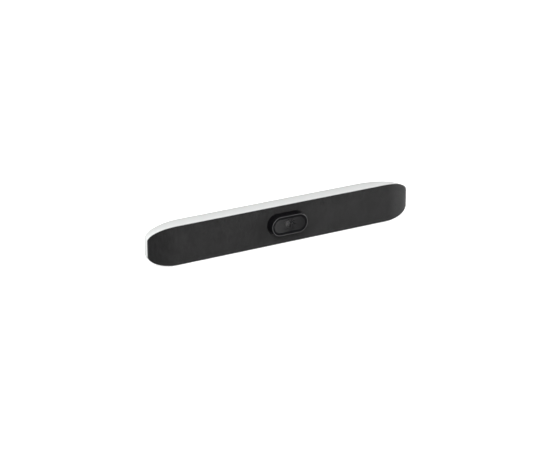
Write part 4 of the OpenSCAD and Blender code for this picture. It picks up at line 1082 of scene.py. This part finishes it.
@dataclass
class CameraPod:
    """The pod on the front: bezel, smoked window, hood, lens and shutter."""

    width: float = 68.0 * MM
    height: float = 33.0 * MM
    window_w: float = 62.0 * MM
    window_h: float = 24.0 * MM
    window_t: float = 1.5 * MM
    slope_w: float = 0.8 * MM
    lip_w: float = 1.9 * MM
    lip_h: float = 0.8 * MM
    slope_d: float = 1.4 * MM
    crest_w: float = 0.6 * MM
    crest_d: float = 0.15 * MM
    dish_d: float = 0.12 * MM
    crest_rows: tuple[int, int] = (5, 6)
    pane_gap: float = 0.05 * MM
    lip_t: float = 0.3 * MM
    ledge_w: float = 2.2 * MM
    inner_wall: float = 1.6 * MM
    flange_w: float = 4.5 * MM
    flange_t: float = 2.0 * MM
    arc_steps: int = 24
    pane_edge: float = 0.25 * MM
    hood_edge: float = 0.2 * MM
    hood_rs: Pair = (10.0 * MM, 5.6 * MM)
    hood_steps: int = 6
    hood_slant: Pair = (0.12 * MM, 0.02 * MM)
    lens_rim: float = 0.9 * MM
    lens_in: float = 0.05 * MM
    lens_t: float = 3.1 * MM
    dome_h: float = 1.6 * MM
    dome_tip: float = 0.03
    dome_steps: int = 18
    lens_points: int = 72
    ring_edge: float = 0.2 * MM
    ring_gap: float = 0.02 * MM
    ring_deep: float = 0.3 * MM
    ribs: int = 8
    rib_from: float = 1.2 * MM
    rib_pitch: float = 0.4 * MM
    rib_deep: float = 0.12 * MM

    def __post_init__(self) -> None:
        """Takes the pod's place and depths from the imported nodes."""
        _, _, (_, self.mid_z), (self.face_y, self.back_y) = facing("camera_bezel")
        self.window_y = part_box("camera_window")[0].y
        self.ledge_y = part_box("window_gasket")[1].y
        self.hood_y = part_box("lens_hood")[0].y

    def pill(self, w: float, h: float) -> np.ndarray:
        """Outline with half-round ends."""
        return rounded(w, h, h, self.arc_steps)

    def bezel(self) -> Object:
        """Closed wall: side, sloping edge, painted-highlight crest, dished face, ledge and inside.

        The crest is a narrow round between the dark edge and the dark face; its faces take a
        paler copy of the black, a painted highlight that draws a line of light round the window.
        """
        w, h, out = self.width, self.height, 2 * self.slope_w
        crest = out + 2 * self.crest_w
        view_w, view_h = self.window_w - 2 * self.lip_w, self.window_h - 2 * self.lip_h
        seat, pane = self.back_y - self.flange_t, self.window_y - self.pane_gap
        ledge, inner, flange = 2 * self.ledge_w, 2 * self.inner_wall, 2 * self.flange_w
        hole_w, hole_h = self.window_w + 2 * self.pane_gap, self.window_h + 2 * self.pane_gap
        narrow_w, narrow_h = self.window_w - ledge, self.window_h - ledge
        track = [
            (w + flange, h + flange, self.back_y), (w + flange, h + flange, seat),
            (w, h, seat), (w, h, self.face_y + self.slope_d),
            (w - 0.4 * out, h - 0.4 * out, self.face_y + 0.45 * self.slope_d),
            (w - out, h - out, self.face_y + self.crest_d),
            (w - 0.5 * (out + crest), h - 0.5 * (out + crest), self.face_y),
            (w - crest, h - crest, self.face_y + self.dish_d),
            (view_w, view_h, pane - self.lip_t), (view_w, view_h, pane),
            (hole_w, hole_h, pane), (hole_w, hole_h, self.ledge_y),
            (narrow_w, narrow_h, self.ledge_y), (narrow_w, narrow_h, self.hood_y),
            (w - inner, h - inner, self.hood_y), (w - inner, h - inner, self.back_y),
        ]
        outlines = [self.pill(a, b) for a, b, _ in track]
        levels = [y for *_, y in track]
        piece = stacked(outlines, levels, (0, self.mid_z), closed=True).piece("pod_bezel", sharp=24)
        for finish in (SATIN_BLACK, CREST_PAINTED_HIGHLIGHT):
            piece.data.materials.append(finish.material())
        # The crest rows take the paler grey, a painted highlight.
        row = np.arange(len(piece.data.polygons)) // len(outlines[0])
        painted_highlight_rows = np.isin(row, self.crest_rows).astype(np.int32)
        piece.data.polygons.foreach_set("material_index", painted_highlight_rows)
        return finished(piece, SATIN_BLACK, ["camera_bezel"])

    def window(self) -> Object:
        """Smoked pane with a ground edge."""
        slack = 2 * self.pane_gap
        pane = bevelled(self.window_w - slack, self.window_h - slack, self.window_h,
                        (self.window_y, self.window_y + self.window_t), (0, self.mid_z),
                        self.pane_edge, steps=self.arc_steps)
        return finished(pane.piece("pod_window"), SMOKED_PANE, ["camera_window"])

    def hood(self) -> Object:
        """Plate behind the window with a stepped cone that keeps stray light off the lens."""
        w, h, _, ends = facing("lens_hood")
        plate = bevelled(w, h, h, ends, (0, self.mid_z), self.hood_edge,
                         steps=self.arc_steps).piece("stepped_hood", sharp=30)
        radii = np.linspace(*self.hood_rs, self.hood_steps)
        depths = np.linspace(*ends, self.hood_steps)
        steps = [(radii[0], ends[0] - MM)]
        for r0, r1, y in zip(radii[:-1], radii[1:], depths[1:]):
            steps += [(r0, y - self.hood_slant[0]), (r1, y - self.hood_slant[1])]
        steps.append((radii[-1], ends[1] + MM))
        cone = turned(steps, (0, self.mid_z), n=96)
        combine(plate, cone, "DIFFERENCE", sharp=30)
        return finished(plate, CARRIER_BLACK, ["lens_hood"])

    def lens(self) -> None:
        """Domed front lens, and its barrel with a retaining ring and fine ribs."""
        centre, n, r = (0.0, self.mid_z), self.lens_points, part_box("lens_barrel")[1].x
        *_, (front, back) = facing("lens_barrel")
        inner, y0 = r - self.lens_rim, front + self.lens_in
        dome = [(inner, y0 + self.lens_t)]
        dome += [(inner * math.sin(t), y0 + self.dome_h * (1 - math.cos(t)))
                 for t in np.linspace(math.pi / 2, self.dome_tip, self.dome_steps)]
        # The lens's pale grey colour is a painted highlight.
        glass = turned(dome, centre, n=n).piece("front_lens_dome", sharp=60)
        finished(glass, LENS_PAINTED_GLINT, ["front_lens"])
        ribs = [(r - self.rib_deep * (i % 2), front + self.rib_from + self.rib_pitch * i)
                for i in range(self.ribs)]
        bore, edge = inner + self.ring_gap, self.ring_edge
        profile = [(bore, front + self.ring_deep), (inner + edge, front), (r - edge, front),
                   (r, front + edge), *ribs, (r, back), (bore, back)]
        barrel = turned(profile, centre, closed=True, n=n).piece("ribbed_barrel", sharp=30)
        finished(barrel, CARRIER_BLACK, ["lens_barrel"])

    def build(self) -> None:
        """Makes the pod's pieces and dresses the nodes inside it."""
        self.bezel()
        self.window()
        self.hood()
        self.lens()
        dress_nodes({
            FOAM_BLACK: ["window_gasket"],
            CARRIER_BLACK: ["shutter_guide", "lens_holder"],
            INNER_GREY: ["shutter_blade", "camera_bracket"],
            BRASS: ["drive_pinion"],
            STEEL_PLATED: ["motor_shaft", "bezel_screws"],
            MAGNET_PLATED: ["shutter_motor"],
            FILTER_TEAL: ["ir_filter"],
            CHIP_BLACK: ["image_sensor"],
            BOARD_GREEN: ["camera_board"],
            AMBER_FILM: ["camera_flex"],
        })


# Sockets


@dataclass(frozen=True)
class ContactRow:
    """A row of gilt contacts on a socket's tongue, with its lengths in millimetres.

    It takes the socket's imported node, the number of contacts and their pitch, the width
    and thickness of one, the row's height above the socket's middle, and how far behind
    the socket's mouth it starts.
    """

    name: str
    node: str
    count: int
    pitch: float
    size: Pair
    rise: float
    back: float
    length: float = 4.5
    edge: float = 0.05

    def build(self) -> Object:
        """Makes the row as one piece."""
        _, _, (middle, mid), (_, mouth) = facing(self.node)
        w, t = (side * MM for side in self.size)
        ends = (mouth - (self.back + self.length) * MM, mouth - self.back * MM)
        steps = (np.arange(self.count) - (self.count - 1) / 2) * self.pitch * MM
        row = total(bevelled(w, t, t / 2, ends, (middle + step, mid + self.rise * MM),
                             self.edge * MM, steps=2) for step in steps)
        return finished(row.piece(self.name), GOLD_CONTACT)


CONTACT_ROWS = (
    ContactRow("square_socket_contacts", "usb_a_port", 4, 2.5, (1.2, 0.2), -0.02, 1.6),
    ContactRow("video_socket_contacts_top", "hdmi_port", 10, 1.0, (0.45, 0.15), 0.84, 1.4),
    ContactRow("video_socket_contacts_low", "hdmi_port", 9, 1.0, (0.45, 0.15), -0.84, 1.4),
    ContactRow("oval_socket_contacts", "usb_c_port", 12, 0.5, (0.25, 0.1), 0.38, 1.4),
)


@dataclass
class ResetButton:
    """Button at the back: stem, collar, and a cap with a dished, rounded top."""

    stem_r: float = 1.5 * MM
    collar_r: float = 3.0 * MM
    collar_t: float = 1.0 * MM
    cap_r: float = 2.0 * MM
    cap_h: float = 3.7 * MM
    crown_r: float = 0.5 * MM
    crown_steps: int = 6
    dish_r: float = 0.9 * MM
    dish_floor_r: float = 0.2 * MM
    dish_rim_d: float = 0.12 * MM
    dish_d: float = 0.2 * MM

    def build(self) -> Object:
        """Turns the button in one piece, which moves with its own body."""
        _, _, centre, (root, tip) = facing("reset_button")
        collar = tip - self.cap_h
        collar_top = collar + self.collar_t
        crown = [(self.cap_r - self.crown_r * (1 - math.cos(t)),
                  tip - self.crown_r * (1 - math.sin(t)))
                 for t in np.linspace(0, math.pi / 2, self.crown_steps)]
        profile = [(self.stem_r, root), (self.stem_r, collar), (self.collar_r, collar),
                   (self.collar_r, collar_top), (self.cap_r, collar_top), *crown,
                   (self.dish_r, tip - self.dish_rim_d), (self.dish_floor_r, tip - self.dish_d)]
        piece = turned(profile, centre).piece("reset_cap", sharp=35)
        return finished(piece, BUTTON_GREY, ["reset_button"], "reset")


@dataclass
class SocketBay:
    """Recessed panel at the back with its sockets, their contacts and a reset button."""

    wall: float = 1.6 * MM
    lip_w: float = 3.0 * MM
    lip_t: float = 1.2 * MM
    corner_r: float = 4.0 * MM
    floor_t: float = 1.6 * MM
    mouth_edge: float = 0.4 * MM
    socket_gap: float = 0.2 * MM
    button_hole_r: float = 2.2 * MM

    def panel(self) -> Object:
        """Tray with a rounded mouth and a lip behind the shell's wall, cut for each socket."""
        w, h, (_, mid), (inside, mouth) = facing("port_panel")
        w, h = w - 2 * self.lip_w, h - 2 * self.lip_w
        lip_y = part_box("rear_housing")[1].y - RearShell.wall
        floor = inside + self.floor_t
        m, t, r = self.mouth_edge, 2 * self.wall, self.corner_r
        track = [
            (w, h, r, inside), (w, h, r, lip_y - self.lip_t),
            (w + 2 * self.lip_w, h + 2 * self.lip_w, r, lip_y - self.lip_t),
            (w + 2 * self.lip_w, h + 2 * self.lip_w, r, lip_y), (w, h, r, lip_y),
            (w, h, r, mouth - m), (w - 0.6 * m, h - 0.6 * m, r, mouth - 0.3 * m),
            (w - 2 * m, h - 2 * m, r - m, mouth),
            (w - t + 2 * m, h - t + 2 * m, r - self.wall + m, mouth),
            (w - t, h - t, r - self.wall, mouth - m), (w - t, h - t, r - self.wall, floor + m),
            (w - t - 2 * m, h - t - 2 * m, r - self.wall - m, floor),
        ]
        tray = stacked([rounded(a, b, c) for a, b, c, _ in track], [y for *_, y in track],
                       (0, mid)).piece("socket_tray", sharp=30)
        cuts, ends, gap = [], (inside - MM, floor + MM), 2 * self.socket_gap
        for node, radius in (("dc_jack", 0.5), ("usb_c_port", 2.0), ("hdmi_port", 1.2),
                             ("usb_a_port", 0.5)):
            wide, tall, (x, _), _ = facing(node)
            cuts.append(slab(wide + gap, tall + gap, radius * MM, ends, (x, mid)))
        _, _, (x, _), _ = facing("reset_button")
        cuts.append(drill((x, mid), self.button_hole_r, ends))
        combine(tray, total(cuts), "DIFFERENCE", sharp=30)
        return finished(tray, PANEL_BLACK, ["port_panel"])

    def build(self) -> None:
        """Makes the tray, contacts and button, and dresses the sockets."""
        self.panel()
        for row in CONTACT_ROWS:
            row.build()
        ResetButton().build()
        dress_nodes({CARRIER_BLACK: ["dc_jack"], CHIP_BLACK: ["reset_switch"],
                     STEEL_PLATED: ["usb_c_port", "hdmi_port", "usb_a_port"]})


# What the housing hides


@dataclass
class Loudspeakers:
    """Two closed boxes, each with a driver."""

    sides: tuple[str, str] = ("left", "right")

    def build(self) -> None:
        """Dresses both sides."""
        for side in self.sides:
            dress_nodes({
                INNER_GREY: [f"speaker_box_{side}", f"speaker_lid_{side}"],
                STEEL_DARK: [f"driver_frame_{side}"],
                MAGNET_PLATED: [f"driver_magnet_{side}"],
                CONE_PULP: [f"cone_{side}"],
                COPPER_WIRE: [f"voice_coil_{side}"],
                SURROUND_RUBBER: [f"surround_{side}"],
            })
        dress_nodes({FOAM_BLACK: ["speaker_gaskets"], STEEL_PLATED: ["speaker_screws"],
                     LEAD_RED: ["speaker_leads"]})


@dataclass
class Boards:
    """Main board, its chips and cooling, microphones and antennas."""

    microphones: tuple[str, str] = ("mic_board_left", "mic_board_right")

    def build(self) -> None:
        """Dresses the boards and what stands on them."""
        dress_nodes({
            BOARD_GREEN: [*self.microphones, "main_board"],
            FOAM_BLACK: ["mic_gaskets"],
            CHIP_BLACK: ["board_chips"],
            STEEL_PLATED: ["shield_can", "board_screws"],
            PAD_BLUE: ["thermal_pad"],
            ALUMINIUM: ["heat_sink"],
            AMBER_FILM: ["wifi_antennas"],
        })


# Studio


@dataclass
class Lamp:
    """A soft square lamp that looks at the bar."""

    name: str
    place: Triple
    size: float
    power: float

    def build(self, aim: Vector) -> None:
        """Adds the lamp and turns it to a point."""
        data = bpy.data.lights.new(self.name, "AREA")
        data.shape, data.size, data.energy = "SQUARE", self.size, self.power
        obj = placed(self.name, data)
        obj.location = self.place
        obj.rotation_euler = (aim - Vector(self.place)).to_track_quat("-Z", "Y").to_euler()


@dataclass
class Studio:
    """White room: floor, world, lamps, and the camera at the photograph's angle."""

    image: tuple[int, int] = (550, 450)
    aim_px: Pair = (285.77, 224.0)
    focal_px: float = 1764.7
    azimuth: float = -32.0
    elevation: float = 19.14
    distance: float = 2855.0 * MM
    sensor: float = 36.0
    clip: Pair = (0.05, 60.0)
    floor_size: float = 24.0
    floor_corner_r: float = 2.0
    floor_t: float = 0.02
    floor_tone: float = 0.86
    floor_roughness: float = 0.9
    floor_glow: float = 0.5
    world_light: float = 0.18
    lamps: tuple[Lamp, ...] = (
        Lamp("key_front_left", (-1.45, -1.98, 1.72), 1.7, 132.0),
        Lamp("fill_back", (-0.7, 2.3, 0.8), 1.8, 25.0),
        Lamp("side_right", (2.4, -0.9, 0.8), 1.2, 40.0),
    )

    def camera(self, form: BarForm) -> None:
        """Aims at the middle of the front, which the shift puts at its pixel."""
        a, e = math.radians(self.azimuth), math.radians(self.elevation)
        back = Vector((math.sin(a) * math.cos(e), -math.cos(a) * math.cos(e), math.sin(e)))
        aim = Vector((0, form.front_y, (form.z0 + form.z1) / 2))
        data = bpy.data.cameras.new("camera")
        data.sensor_width = self.sensor
        data.lens = self.focal_px / self.image[0] * self.sensor
        data.shift_x = -(self.aim_px[0] - self.image[0] / 2) / self.image[0]
        data.shift_y = (self.aim_px[1] - self.image[1] / 2) / self.image[0]
        data.clip_start, data.clip_end = self.clip
        obj = placed("camera", data)
        obj.location = aim + back * self.distance
        obj.rotation_euler = (-back).to_track_quat("-Z", "Y").to_euler()
        bpy.context.scene.camera = obj

    def world(self) -> None:
        """Plain light on the bar, and white for what the camera and reflections see."""
        world = bpy.data.worlds.new("studio")
        bpy.context.scene.world = world
        world.use_nodes = True
        g = Graph(world.node_tree)
        g.feed(world.node_tree.nodes["Background"].inputs, {
            "Color": (1, 1, 1, 1), "Strength": g.span(seen_rays(g), self.world_light, 1.0)})

    def floor(self) -> None:
        """A wide pale table top, lifted to white where the camera sees it."""
        table = slab(self.floor_size, self.floor_size, self.floor_corner_r, (-self.floor_t, 0.0),
                     (0, 0), Axis.ALONG_Z, steps=4).piece("floor", sharp=30)
        made, g, shader = new_material("studio_floor")
        g.feed(shader.inputs, {"Base Color": opaque((self.floor_tone,) * 3),
                               "Roughness": self.floor_roughness})
        glow = g.node("Emission", {"Strength": g.math("MULTIPLY", seen_rays(g), self.floor_glow)})
        both = g.node("AddShader", {0: shader.outputs[0], 1: glow.outputs[0]})
        g.feed(made.node_tree.nodes["Material Output"].inputs, {"Surface": both.outputs[0]})
        table.data.materials.append(made)

    def build(self, form: BarForm) -> None:
        """Sets the camera, the lights and the floor."""
        bpy.context.scene.view_settings.view_transform = "Standard"
        self.camera(form)
        self.world()
        self.floor()
        aim = Vector((0, 0, (form.z0 + form.z1) / 2))
        for lamp in self.lamps:
            lamp.build(aim)


def main() -> None:
    """Builds the bar's sub-assemblies and the studio in turn."""
    logging.basicConfig(level=logging.INFO, format="%(name)s %(message)s")
    form = BarForm.from_frame()
    Studio().build(form)
    pod = CameraPod()
    FrontCover(form).build(pod)
    RearShell(form).build()
    Feet().build()
    pod.build()
    SocketBay().build()
    Loudspeakers().build()
    Boards().build()


if __name__ == "__main__":
    main()
